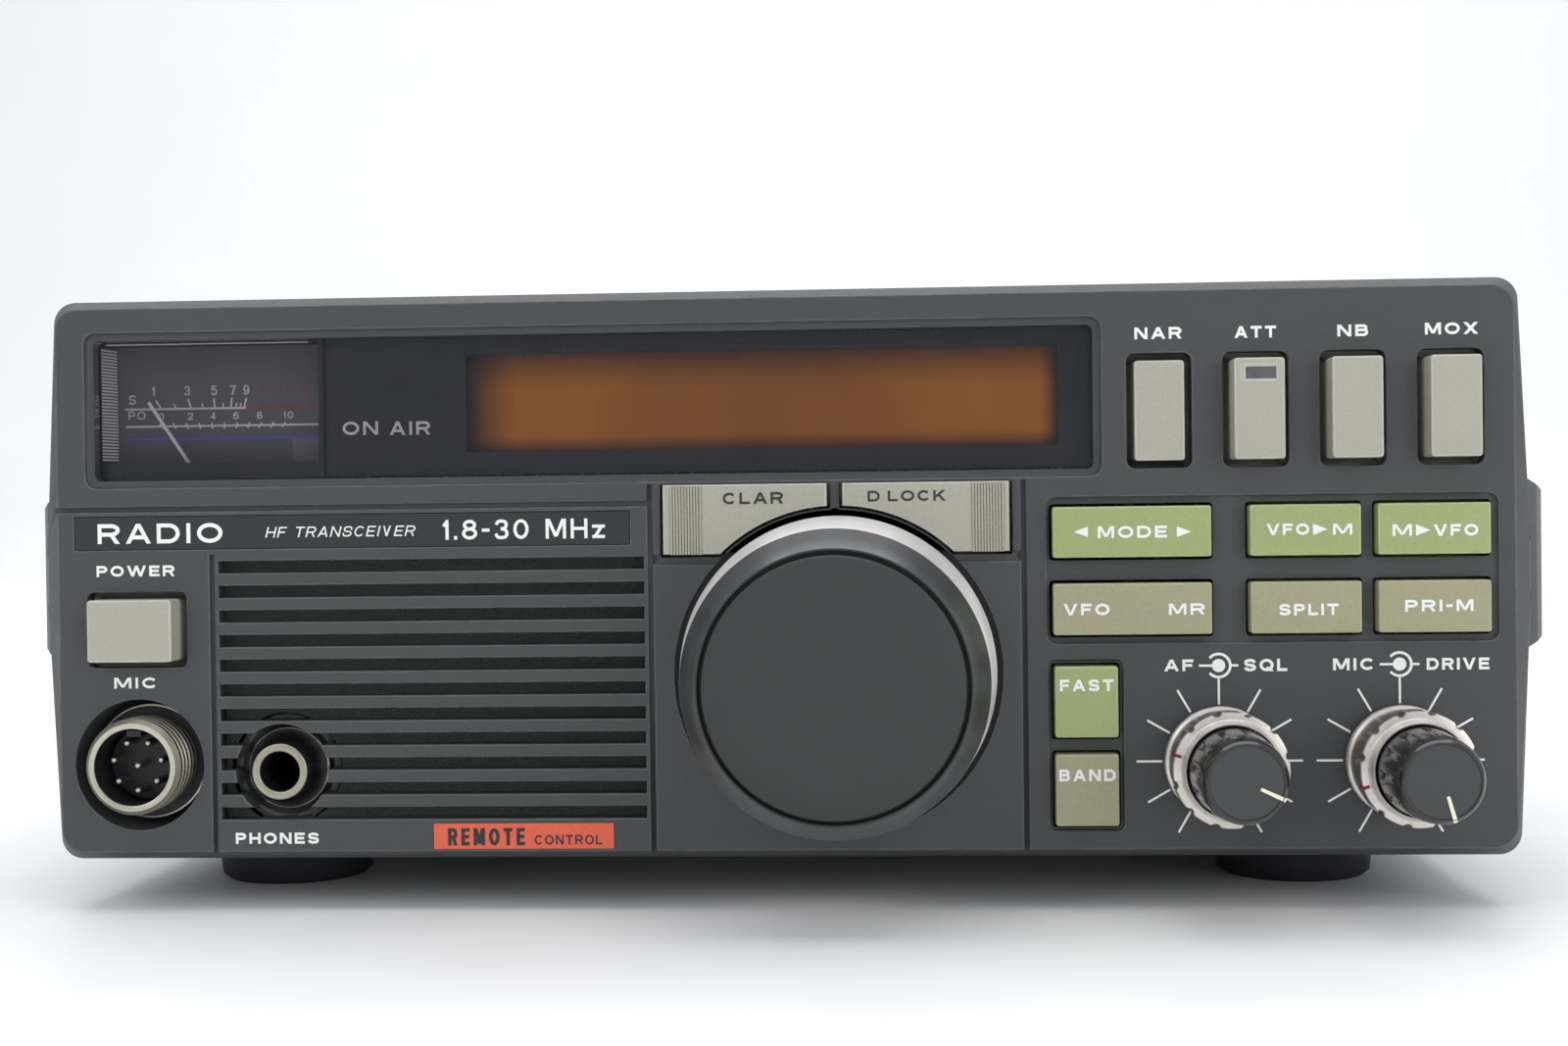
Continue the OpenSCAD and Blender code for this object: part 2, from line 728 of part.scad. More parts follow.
module panel_round_holes() {
    rod(tune_axis, [-past, recess_depth], tune_hole_r);
    rod(tune_axis, [-past, panel_depth], tune_shaft_r + shaft_room);
    for (x = [pot_left_x, pot_right_x])
        rod([x, pot_z], wall, panel_bore_r);
    rod(mic_at, [-past, mic_floor], mic_well_r);
    rod(mic_at, [0, mic_well_end + past], mic_barrel_r + seat_gap);
    rod(phones_at, [-past, phones_floor], phones_well_r);
    rod(phones_at, [0, phones_well_end + past], phones_bush_r + seat_gap);
    for (row = rocker_rows, end = [-1, 1])
        translate([mid(rocker_x), rocker_pivot_y,
            mid(row) + end * ((row[1] - row[0]) / 2 + pivot_rise) - trunnion_room / 2])
            cylinder(h = trunnion_room, r = trunnion_r + running_gap);
}

module front_panel() {
    color(body_grey) on_panel() difference() {
        union() {
            difference() {
                panel_body();
                panel_hollow();
            }
            panel_ribs();
        }
        panel_windows();
        wide_openings();
        panel_grooves();
        panel_round_holes();
    }
}

module name_strip() {
    color(dark_plastic) on_panel() span(grow(strip_tray_x, -strip_gap), [strip_gap, tray],
        grow(strip_tray_z, -strip_gap));
}

module accent_label() {
    color([0.9, 0.36, 0.2]) on_panel() span(label_x, [-label_thick, 0], label_z);
}

/* Display */

module display_window() {
    pane_x = grow(frame_x, -frame_step - seat_gap);
    pane_z = grow(frame_z, -frame_step - seat_gap);
    color([0.12, 0.1, 0.12, 0.5]) on_panel() {
        slab([frame_step - pane_sink, panel_wall]) polygon(rounded(pane_x, pane_z, pane_corner));
        slab([panel_wall, panel_wall + 1])
            polygon(rounded(grow(pane_x, pane_flange[0]), grow(pane_z, pane_flange[1]), pane_corner));
    }
}

module window_mask() {
    color(dark_plastic) on_panel() difference() {
        span(mask_x, mask_y, mask_z);
        span(grow(lcd_x, mask_gap), grow(mask_y, past), grow(lcd_z, mask_gap));
    }
}

// The case's front is open; a sloped guide in its left corner throws light across the scale.
module meter_case() {
    color([0.16, 0.15, 0.16]) on_panel() {
        difference() {
            span(grow(meter_x, meter_skin), meter_y, [meter_foot, meter_z[1] + past]);
            span([meter_x[0] + meter_side, meter_x[1]], [meter_y[0] - past, meter_y[1] - scale_room],
                [meter_z[0], meter_z[1] - meter_skin]);
            span(around(needle_pivot[0], needle_slot_w), [meter_y[0] + meter_skin, needle_slot_end],
                [needle_slot_low, meter_z[0] + past]);
            rod(needle_pivot, grow(needle_pin_y, pin_room), needle_pin_r + running_gap);
        }
        translate([0, 0, guide_z[0]]) linear_extrude(guide_z[1] - guide_z[0]) polygon(guide_plan);
    }
}

module meter_scale() {
    color([0.1, 0.1, 0.12]) on_panel()
        span([meter_x[0] + meter_side + seat_gap, meter_x[1] - seat_gap], scale_y,
            [meter_z[0] + seat_gap, meter_z[1] - meter_skin - seat_gap]);
}

module meter_needle() {
    color([0.9, 0.88, 0.82]) on_panel() translate([needle_pivot[0], 0, needle_pivot[1]]) {
        rotate([0, -needle_rest, 0]) span(around(0, needle_w), needle_y, [0, needle_len]);
        rod([0, 0], needle_hub_y, needle_hub_r);
        rod([0, 0], needle_pin_y, needle_pin_r);
    }
}

module lcd_panel() {
    color([0.55, 0.32, 0.14]) on_panel() {
        span(grow(lcd_x, lcd_border), lcd_y, grow(lcd_z, lcd_border));
        span(grow(lcd_x, lcd_glass[0]), [lcd_y[1], lcd_back], grow(lcd_z, lcd_glass[1]));
    }
}

module display_board() {
    color(board_green) on_panel() difference() {
        span(display_board_x, [board_y, board_y + board_thick], display_board_z);
        for (x = push_middles)
            span(around(x, switch_room), board_hole, around(push_z, switch_room));
    }
    color(dark_plastic) on_panel() for (x = driver_chips_x)
        span([x, x + driver_chip[0]], [board_y - driver_chip[1], board_y],
            [driver_chip_z, driver_chip_z + driver_chip[2]]);
}

/* Keys and buttons */

// A key cap with a retaining flange behind the wall and a post that meets its switch.
module push_key(x, z, tint) {
    color(tint) on_panel() {
        slab([-key_proud, flange_y]) polygon(rounded(x, z, key_corner, small_arc));
        span(grow(x, key_lip), [flange_y, flange_y + flange_thick], grow(z, key_lip));
        rod([mid(x), mid(z)], [flange_y + flange_thick, post_end], post_r);
    }
}

// A long key that tips left or right on an upright pin.
module rocker_key(z, tint) {
    color(tint) on_panel() {
        slab([-key_proud, rocker_pivot_y + rocker_back])
            polygon(rounded(rocker_x, z, key_corner, small_arc));
        for (end = [-1, 1])
            rod([mid(rocker_x) + end * rocker_reach, mid(z)], [rocker_pivot_y + rocker_back, post_end],
                post_r);
        translate([mid(rocker_x), rocker_pivot_y, z[0] - trunnion_reach])
            cylinder(h = z[1] - z[0] + 2 * trunnion_reach, r = trunnion_r);
    }
}

// A tall push button with a stem into its switch; in is how far it is pressed at rest.
module tall_button(at, size, in) {
    color(button_beige) on_panel() translate([0, in, 0]) difference() {
        union() {
            slab([-push_proud, panel_wall + push_gap])
                polygon(rounded(around(at[0], size[0]), around(at[1], size[1]), push_corner, small_arc));
            span(around(at[0], size[0] + push_collar[0]), push_collar_y,
                around(at[1], size[1] + push_collar[1]));
            rod(at, [push_collar_y[1], switch_front], stem_r);
        }
        children();
    }
}

// A wide button whose inner corner is cut away round the tuning knob.
module wide_button(x) {
    color(button_beige) on_panel() difference() {
        union() {
            span(x, [-wide_proud, wide_lip_y[0]], wide_z);
            span(grow(x, wide_lip[0]), wide_lip_y, [wide_z[0] - wide_lip[1], wide_z[1] + wide_lip[2]]);
            rod([x[0] < 0 ? x[0] + wide_post_in : x[1] - wide_post_in, mid(wide_z)],
                [flange_y + 2, post_end], post_r);
        }
        rod(tune_axis, [-past - wide_proud, wide_lip_y[1] + past], tune_hole_r + knob_clear);
    }
}

module power_button() {
    tall_button(power_at, power_size, 0);
}

module narrow_button() {
    tall_button([push_middles[0], push_z], push_size, push_travel);
}

module attenuator_button() {
    tall_button([push_middles[1], push_z], push_size, 0)
        span(around(push_middles[1], lamp_size[0]), [-push_proud - past, -push_proud + lamp_depth],
            around(push_z + lamp_rise, lamp_size[1]));
}

module noise_blanker_button() {
    tall_button([push_middles[2], push_z], push_size, 0);
}

module mox_button() {
    tall_button([push_middles[3], push_z], push_size, 0);
}

module clarifier_button() {
    wide_button(clar_x);
}

module dial_lock_button() {
    wide_button(lock_x);
}

module mode_rocker() {
    rocker_key(upper_z, key_green);
}

module vfo_mr_rocker() {
    rocker_key(lower_z, key_olive);
}

module vfo_to_memory_key() {
    push_key(mid_key_x, upper_z, key_green);
}

module memory_to_vfo_key() {
    push_key(out_key_x, upper_z, key_green);
}

module split_key() {
    push_key(mid_key_x, lower_z, key_olive);
}

module priority_key() {
    push_key(out_key_x, lower_z, key_olive);
}

module fast_key() {
    push_key(step_key_x, fast_z, key_green);
}

module band_key() {
    push_key(step_key_x, band_z, key_olive);
}

// Circuit board behind the keys, with a small switch in front of each post.
module key_board() {
    tact = [for (w = key_windows) if (w[0] != rocker_x) [mid(w[0]), mid(w[1])]];
    rocker_tact = [for (z = rocker_rows, end = [-1, 1]) [mid(rocker_x) + rocker_reach * end, mid(z)]];
    wide_tact = [[clar_x[0] + wide_post_in, mid(wide_z)], [lock_x[1] - wide_post_in, mid(wide_z)]];
    color(board_green) on_panel() difference() {
        union() {
            span(key_board_x, [board_y, board_y + board_thick], key_board_z);
            span(wide_board_x, [board_y, board_y + board_thick], [wide_board_z, key_board_z[1]]);
        }
        for (x = [pot_left_x, pot_right_x])
            rod([x, pot_z], board_hole, pot_can_room);
        rod(tune_axis, board_hole, encoder_room);
    }
    color(dark_plastic) on_panel() for (at = concat(tact, rocker_tact, wide_tact))
        span(around(at[0], tact_size), [switch_front, board_y], around(at[1], tact_size));
}

// The bodies of the five latching switches that the tall buttons work.
module switch_bodies() {
    color(dark_plastic) on_panel() for (at = concat([for (x = push_middles) [x, push_z]], [power_at]))
        difference() {
            span(around(at[0], switch_size), [switch_face, plate_y - seat_gap], around(at[1], switch_size));
            rod(at, [switch_face - past, plate_y], stem_r + running_gap);
        }
}

/* Knobs */

// The knob is a metal shell: a bright tapered side, a bevelled front rim and a hub on the shaft.
module tuning_knob() {
    color(bright_metal) on_panel() turned(tune_axis, tune_shell);
}

module tuning_knob_cap() {
    color(body_grey) on_panel() turned(tune_axis, tune_cap);
}

module tuning_shaft() {
    color(steel) on_panel() rod(tune_axis, tune_shaft_y, tune_shaft_r);
}

module encoder_body() {
    color(steel) on_panel() difference() {
        union() {
            rod(tune_axis, [encoder_nose[0], plate_y + 2], encoder_nose[1]);
            rod(tune_axis, [plate_y - encoder_nut[0], plate_y - seat_gap], encoder_nut[1]);
            rod(tune_axis, [plate_y + flange_sheet + seat_gap, encoder_can[0]], encoder_can[1]);
        }
        rod(tune_axis, encoder_bore_y, tune_shaft_r + running_gap);
    }
}

// An outer ring knob: a drum between a thin base flange and a scalloped rim, on a tubular shaft.
module ring_knob(x, mark) {
    at = [x, pot_z];
    color(bright_metal) on_panel() difference() {
        turned(at, ring_shell);
        for (i = [1:step_count])
            rod(polar(at, notch_at, mark + index_step * i), [-ring_reach - past, notch_end], notch_r);
    }
}

// An inner knob with shallow flutes, on a solid shaft inside the ring's tube.
module inner_knob(x, mark) {
    at = [x, pot_z];
    color(dark_plastic) on_panel() difference() {
        union() {
            turned(at, inner_shell);
            rod(at, [inner_back, inner_shaft_end], inner_shaft_r);
        }
        for (i = [0:step_count])
            rod(polar(at, flute_at, mark + index_step * (i + 0.5)), flute_y, flute_r);
    }
}

module squelch_ring() {
    ring_knob(pot_left_x, squelch_mark);
}

module af_knob() {
    inner_knob(pot_left_x, volume_mark);
}

module drive_ring() {
    ring_knob(pot_right_x, drive_mark);
}

module mic_gain_knob() {
    inner_knob(pot_right_x, mic_gain_mark);
}

// The two double potentiometers, each with a threaded bushing and its nut.
module pot_bodies() {
    color(steel) on_panel() for (x = [pot_left_x, pot_right_x])
        difference() {
            union() {
                rod([x, pot_z], [0, plate_y + 2], pot_nose_r);
                rod([x, pot_z], [plate_y - pot_nut_h, plate_y - seat_gap], pot_nut_r);
                rod([x, pot_z], [plate_y + flange_sheet + seat_gap, pot_end], pot_can_r);
            }
            rod([x, pot_z], [-past, pot_bore_end], pot_ring_room);
            rod([x, pot_z], pot_socket_y, inner_shaft_r + running_gap);
        }
}

/* Sockets on the front */

module mic_socket_shell() {
    color(bright_metal) on_panel() difference() {
        union() {
            turned(mic_at, mic_barrel);
            rod(mic_at, [mic_nut_y[0], mic_floor - seat_gap], mic_nut_r);
            rod(mic_at, [mic_well_end + seat_gap, mic_nut_y[1]], mic_nut_r);
        }
        rod(mic_at, [-mic_proud - past, mic_back + past], mic_bore_r);
    }
}

module mic_socket_insert() {
    color(dark_plastic) on_panel() {
        rod(mic_at, [mic_insert_face, mic_insert_end], mic_bore_r - mic_insert_gap);
        span(around(mic_at[0], mic_key_w), [mic_key_front, mic_insert_face],
            [mic_at[1] + mic_key_rise[0], mic_at[1] + mic_key_rise[1]]);
    }
}

module mic_socket_pins() {
    color(bright_metal) on_panel() {
        rod(mic_at, [mic_pin_tip, mic_insert_face], mic_pin_r);
        for (i = [0:mic_pin_count - 1])
            rod(polar(mic_at, mic_pin_circle, i * 360 / mic_pin_count - 90), [mic_pin_tip, mic_insert_face],
                mic_pin_r);
        rod(mic_at, [mic_insert_end, mic_insert_end + 2], mic_pin_r);
    }
}

module phones_jack() {
    color(bright_metal) on_panel() difference() {
        union() {
            rod(phones_at, [-phones_proud, phones_bush_end], phones_bush_r);
            rod(phones_at, [phones_nut_y, phones_floor - seat_gap], phones_nut_r);
            span(around(phones_at[0], phones_body), [phones_well_end + seat_gap, phones_end],
                around(phones_at[1], phones_body));
        }
        rod(phones_at, [-phones_proud - past, phones_bore_end], phones_bore_r);
    }
}

/* Loudspeaker */

module grille_cloth() {
    color([0.05, 0.05, 0.05]) on_panel() difference() {
        span(cloth_x, cloth_y, cloth_z);
        rod(phones_at, grow(cloth_y, past), phones_well_r + socket_rib + cloth_gap);
        rod(mic_at, grow(cloth_y, past), mic_well_r + well_wall + cloth_gap);
    }
}

module speaker_frame() {
    color(steel) on_panel() {
        turned(speaker_at, frame_ring);
        rod(speaker_at, magnet_y, magnet_r);
    }
}

module speaker_cone() {
    color([0.1, 0.1, 0.1]) on_panel() turned(speaker_at, cone_shape);
}

/* Frame, boards and covers */

module chassis_plate() {
    difference() {
        span([-wall_x, wall_x], [plate_y, plate_y + flange_sheet], [flange_low, flange_high]);
        rod(tune_axis, plate_hole, plate_tune_r);
        for (x = [pot_left_x, pot_right_x])
            rod([x, pot_z], plate_hole, plate_pot_r);
        rod(mic_at, plate_hole, plate_mic_r);
        span(around(phones_at[0], plate_phones), plate_hole, around(phones_at[1], plate_phones));
        for (x = plate_cables_x)
            span(around(x, plate_cable_w), plate_hole, plate_cable_z);
        for (side = [-1, 1], z = tie_zs)
            span(around(side * tie_x, tie_width + 2), plate_hole, grow([z, z + tie_thick], tie_room));
    }
}

module chassis_wall(side) {
    inner = wall_x - flange_sheet;
    difference() {
        union() {
            span(side > 0 ? [inner, wall_x] : [-wall_x, -inner], [plate_y, back_y],
                [flange_low, flange_high]);
            span(side > 0 ? [flange_in, wall_x] : [-wall_x, -flange_in], [plate_y + lug, back_y],
                [flange_low, flange_low + flange_sheet]);
            span(side > 0 ? [top_flange_in, wall_x] : [-wall_x, -top_flange_in], [plate_y + lug, back_y],
                [flange_high - flange_sheet, flange_high]);
            for (z = bolt_zs)
                span(side > 0 ? [bolt_flange[0], wall_x] : [-wall_x, -bolt_flange[0]],
                    [back_y - bolt_flange[1], back_y], around(z, bolt_flange[2]));
        }
        for (y = foot_ys)
            translate([side * foot_x, y, 0]) cylinder(h = foot_hole_h, r = screw_r + running_gap);
        for (y = [screw_top_at[1], screw_top_at[2]])
            translate([side * screw_top_at[0], y, top_hole[0]])
                cylinder(h = top_hole[1], r = screw_r + running_gap);
        for (y = rail_screw_y)
            translate([side * wall_hole[0], y, rail_screw_z]) rotate([0, side * 90, 0])
                cylinder(h = wall_hole[1], r = screw_r + running_gap);
        for (y = bracket_y)
            translate([side * wall_hole[0], y, bracket_z]) rotate([0, side * 90, 0])
                cylinder(h = wall_hole[1], r = bracket_r);
        for (z = bolt_zs)
            rod([side * bolt_x, z], [back_y - lug, back_y + past], screw_r + running_gap);
    }
}

module chassis() {
    color(steel) on_panel() {
        chassis_plate();
        for (side = [-1, 1])
            chassis_wall(side);
        difference() {
            span([-wall_x, wall_x], [plate_y, back_y], [deck_z, deck_z + flange_sheet]);
            span(around(tune_axis[0], deck_encoder_w), [plate_y + flange_sheet, deck_encoder_end], deck_hole);
            for (x = deck_slots_x)
                span(around(x, deck_slot_w), deck_slot_y, deck_hole);
        }
    }
}

module main_board() {
    color(board_green) on_panel()
        span(main_board_x, main_board_y, [main_board_z, main_board_z + board_thick]);
    color(dark_plastic) on_panel() {
        for (c = chips)
            translate([c[0], c[1], main_board_z + board_thick]) cube([c[2], chip_depth, c[3]]);
        for (c = coils)
            translate([c[0], c[1], main_board_z + board_thick]) cylinder(h = coil[0], r = coil[1]);
    }
}

module shield_cans() {
    color([0.72, 0.72, 0.7]) on_panel() for (c = cans)
        difference() {
            span([c[0], c[1]], [c[2], c[3]], [deck_z + flange_sheet, deck_z + flange_sheet + c[4]]);
            span([c[0] + can_sheet, c[1] - can_sheet], [c[2] + can_sheet, c[3] - can_sheet],
                [deck_z, deck_z + flange_sheet + c[4] - can_sheet]);
            for (i = [1:can_hole_count])
                translate([c[0] + can_hole_step * i, c[2] + can_hole_in, deck_z])
                    cylinder(h = c[4] + 2 * past, r = can_hole_r);
        }
}

module cover_tube(z) {
    difference() {
        slab([cover_y, cover_end])
            polygon(rounded([-cover_w / 2, cover_w / 2], [0, cover_top], cover_corner));
        slab([cover_y - past, cover_end + past])
            polygon(rounded(grow([-cover_w / 2, cover_w / 2], -sheet), [sheet, cover_top - sheet],
                cover_inner_r));
        span([-cover_w, cover_w], [0, case_depth], z);
    }
}

module cover_side_holes(z, r, ys) {
    for (y = ys)
        translate([-cover_w, y, z]) rotate([0, 90, 0]) cylinder(h = 2 * cover_w, r = r);
}

module top_cover() {
    color(body_grey) on_panel() difference() {
        cover_tube([-past, cover_split + cover_lap]);
        cover_side_holes(bracket_z, bracket_r + bracket_room, bracket_y);
        for (side = [-1, 1], y = [screw_top_at[1], screw_top_at[2]])
            translate([side * screw_top_at[0], y, top_hole[0]])
                cylinder(h = top_hole[1], r = screw_r + screw_room);
        for (row = top_vent_rows, i = [0:top_vent_count - 1])
            translate([0, 0, cover_top - sheet - past]) linear_extrude(sheet + 2 * past)
                polygon(rounded(around(top_vent_x + vent_pitch * i, vent_w), row, vent_r, small_arc));
    }
}

module bottom_cover() {
    color(body_grey) on_panel() difference() {
        cover_tube([cover_split, cover_top + past]);
        cover_side_holes(rail_screw_z, screw_r + screw_room, rail_screw_y);
        for (side = [-1, 1], y = foot_ys)
            translate([side * foot_x, y, -past]) cylinder(h = sheet + 2 * past, r = screw_r + screw_room);
        for (i = [0:low_vent_count - 1])
            translate([0, 0, -past]) linear_extrude(sheet + 2 * past)
                polygon(rounded(around(low_vent_x + vent_pitch * i, vent_w), low_vent_y, vent_r, small_arc));
    }
}

// Both side rails: a bevelled bar with a slanted front end, two screws and two bracket holes.
module side_rails() {
    inner = cover_w / 2;
    outer = rail_w / 2;
    color(body_grey) on_panel() for (side = [-1, 1])
        difference() {
            intersection() {
                slab([cover_y, rail_end]) polygon([
                    [side * inner, rail_root_z[0]], [side * inner, rail_root_z[1]],
                    [side * (inner + rail_shoulder), rail_root_z[1]], [side * outer, rail_face_z[1]],
                    [side * outer, rail_face_z[0]], [side * (inner + rail_shoulder), rail_root_z[0]]]);
                linear_extrude(case_depth) polygon([
                    [side * inner, cover_y], [side * (outer - rail_nose[0]), cover_y],
                    [side * outer, cover_y + rail_nose[1]], [side * outer, rail_end - rail_tail[0]],
                    [side * (inner + rail_tail[1]), rail_end], [side * inner, rail_end]]);
            }
            for (y = rail_screw_y)
                translate([side * (inner - past), y, rail_screw_z]) rotate([0, side * 90, 0]) {
                    cylinder(h = rail_bore, r = screw_r + screw_room);
                    translate([0, 0, rail_head]) cylinder(h = rail_bore, r = screw_head_r + head_room);
                }
            for (y = bracket_y)
                translate([side * (inner - past), y, bracket_z]) rotate([0, side * 90, 0])
                    cylinder(h = rail_bore, r = bracket_r);
        }
}

module feet() {
    color([0.06, 0.06, 0.07]) on_panel() for (side = [-1, 1], y = foot_ys)
        translate([side * foot_x, y, -foot_h]) rotate_extrude() polygon([
            [screw_r + screw_room, foot_seat], [screw_head_r + 1, foot_seat], [screw_head_r + 1, 0],
            [foot_r - foot_taper[0], 0], [foot_r - foot_taper[1], foot_taper[2]],
            [foot_r, foot_h - foot_taper[3]], [foot_r, foot_h], [screw_r + screw_room, foot_h]]);
}

// A pan-head screw standing on its head's seat, with its shank pointing down.
module screw(shank) {
    translate([0, 0, -shank]) cylinder(h = shank, r = screw_r);
    difference() {
        cylinder(h = screw_head_h, r = screw_head_r);
        for (a = [0, 90])
            rotate([0, 0, a]) translate([-slot_cut[0] / 2, -slot_cut[1] / 2, screw_head_h - slot_cut[2]])
                cube([slot_cut[0], slot_cut[1], 2]);
    }
}

module case_screws() {
    color([0.15, 0.15, 0.16]) on_panel() {
        for (side = [-1, 1]) {
            for (y = [screw_top_at[1], screw_top_at[2]])
                translate([side * screw_top_at[0], y, cover_top]) screw(top_shank);
            for (y = foot_ys)
                translate([side * foot_x, y, foot_seat - foot_h]) rotate([180, 0, 0]) screw(foot_shank);
            for (y = rail_screw_y)
                translate([side * (cover_w / 2 + rail_seat), y, rail_screw_z]) rotate([0, side * 90, 0])
                    screw(rail_shank);
            for (z = bolt_zs)
                translate([side * bolt_x, back_face, z]) rotate([-90, 0, 0]) screw(top_shank);
        }
    }
}

/* Back */

module rear_panel() {
    color(steel) on_panel() difference() {
        span([-wall_x - rear_side, wall_x + rear_side], [back_y, back_face], rear_z);
        rod(aerial_at, back_hole, rear_aerial_r);
        rod(earth_at, back_hole, rear_earth_r);
        rod(rear_key_at, back_hole, rear_key_r);
        rod(rear_speaker_at, back_hole, rear_speaker_r);
        for (at = din_at)
            rod(at, back_hole, rear_din_r);
        span(around(inlet_at[0], inlet_size[0]), back_hole, around(inlet_at[1], inlet_size[1]));
        for (side = [-1, 1], z = bolt_zs)
            rod([side * bolt_x, z], back_hole, screw_r + screw_room);
    }
}

module heat_sink() {
    pitch = (sink_x[1] - sink_x[0] - fin_thick) / (fin_count - 1);
    color([0.12, 0.12, 0.13]) on_panel() {
        span(sink_x, [back_face, back_face + sink_base], sink_z);
        for (i = [0:fin_count - 1])
            span([sink_x[0] + i * pitch, sink_x[0] + i * pitch + fin_thick],
                [back_face + sink_base - eps, case_depth], sink_z);
    }
}

module antenna_socket() {
    color(bright_metal) on_panel() {
        difference() {
            union() {
                span(around(aerial_at[0], aerial_flange), [back_face, back_face + aerial_plate],
                    around(aerial_at[1], aerial_flange));
                rod(aerial_at, [back_face, back_face + aerial_reach], aerial_r);
                rod(aerial_at, [back_y - aerial_back[0], back_face], aerial_nose);
            }
            rod(aerial_at, [back_y - aerial_back[1], back_face + aerial_reach + past], aerial_bore_r);
            for (sx = [-1, 1], sz = [-1, 1])
                rod([aerial_at[0] + sx * aerial_hole[0], aerial_at[1] + sz * aerial_hole[0]],
                    [back_face - past, back_face + aerial_plate + past], aerial_hole[1]);
        }
        pipe(aerial_at, [back_y - aerial_back[2], back_face + aerial_tip], contact_r[0], contact_r[1]);
    }
}

module antenna_insulator() {
    color([0.9, 0.88, 0.8]) on_panel() pipe(aerial_at, [back_y - aerial_back[0], back_face + aerial_tip],
        aerial_bore_r - running_gap, contact_r[0] + running_gap);
}

module power_inlet() {
    color(dark_plastic) on_panel() difference() {
        union() {
            span(around(inlet_at[0], inlet_size[0] - 2 * seat_gap),
                [back_y - inlet_y[0], back_face + inlet_y[1]],
                around(inlet_at[1], inlet_size[1] - 2 * seat_gap));
            span(around(inlet_at[0], inlet_size[0] + inlet_frame[0]), [back_face, back_face + inlet_lip],
                around(inlet_at[1], inlet_size[1] + inlet_frame[1]));
        }
        span(around(inlet_at[0], inlet_size[0] - 2 * inlet_wall),
            [back_y - inlet_y[2], back_face + inlet_y[1] + past],
            around(inlet_at[1], inlet_size[1] - 2 * inlet_wall));
    }
    color(bright_metal) on_panel() for (side = [-1, 1], z = inlet_pin_zs)
        rod([inlet_at[0] + side * inlet_pin_x, inlet_at[1] + z],
            [back_y - inlet_y[2], back_face + inlet_pin_end], inlet_pin_r);
}

module ground_post() {
    color(bright_metal) on_panel() {
        rod(earth_at, [back_y - earth_back, back_face + earth_end], earth_r);
        rod(earth_at, [back_face, back_face + earth_seat[0]], earth_seat[1]);
    }
}

module ground_wing_nut() {
    color(bright_metal) on_panel() difference() {
        union() {
            rod(earth_at, [back_face + wing_hub_y[0], back_face + wing_hub_y[1]], wing_hub_r);
            for (side = [-1, 1])
                slab([back_face + wing_y[0], back_face + wing_y[1]])
                    polygon([for (p = wing_plan) [earth_at[0] + side * p[0], earth_at[1] + p[1]]]);
        }
        rod(earth_at, [back_face, back_face + earth_end + past], earth_r + running_gap);
    }
}

// A rear socket: a bushing with its nut in front of a square body; each list gives a size, then its depths.
module rear_jack(at, bush, nut, body, bore_r) {
    difference() {
        union() {
            rod(at, [back_y - 1, back_face + bush[1]], bush[0]);
            rod(at, [back_face + nut_lift, back_face + nut[1]], nut[0]);
            span(around(at[0], body[0]), [back_y - body[1], back_y - seat_gap], around(at[1], body[0]));
        }
        rod(at, [back_y - body[2], back_face + bush[1] + past], bore_r);
    }
}

// The Morse key socket and the loudspeaker socket.
module rear_jacks() {
    color(bright_metal) on_panel() {
        rear_jack(rear_key_at, key_bush, key_nut, key_body, phones_bore_r);
        rear_jack(rear_speaker_at, speaker_bush, speaker_nut, speaker_body, speaker_bore_r);
    }
}

module accessory_sockets() {
    color(dark_plastic) on_panel() for (at = din_at)
        difference() {
            union() {
                rod(at, [back_y - din_back[0], back_face + din_front], din_r);
                rod(at, [back_face, back_face + din_front], din_flange_r);
            }
            rod(at, [back_y - din_back[1], back_face + din_front + past], din_bore_r);
            for (i = [0:din_pin_count - 1])
                rod(polar(at, din_pins[0], i * din_pin_step), [back_y - din_back[2], back_y], din_pins[1]);
        }
}

front_panel();
display_window();
window_mask();
meter_case();
meter_scale();
meter_needle();
lcd_panel();
display_board();
key_board();
grille_cloth();
speaker_frame();
speaker_cone();
mic_socket_shell();
mic_socket_insert();
mic_socket_pins();
phones_jack();
name_strip();
accent_label();
power_button();
narrow_button();
attenuator_button();
noise_blanker_button();
mox_button();
clarifier_button();
dial_lock_button();
mode_rocker();
vfo_mr_rocker();
vfo_to_memory_key();
memory_to_vfo_key();
split_key();
priority_key();
fast_key();
band_key();
tuning_knob();
tuning_knob_cap();
tuning_shaft();
encoder_body();
squelch_ring();
af_knob();
drive_ring();
mic_gain_knob();
pot_bodies();
switch_bodies();
chassis();
main_board();
shield_cans();
top_cover();
bottom_cover();
side_rails();
feet();
case_screws();
rear_panel();
heat_sink();
antenna_socket();
antenna_insulator();
power_inlet();
ground_post();
ground_wing_nut();
rear_jacks();
accessory_sockets();
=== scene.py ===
import bpy
import bmesh
import math
from math import cos, pi, radians, sin
from mathutils import Matrix, Vector


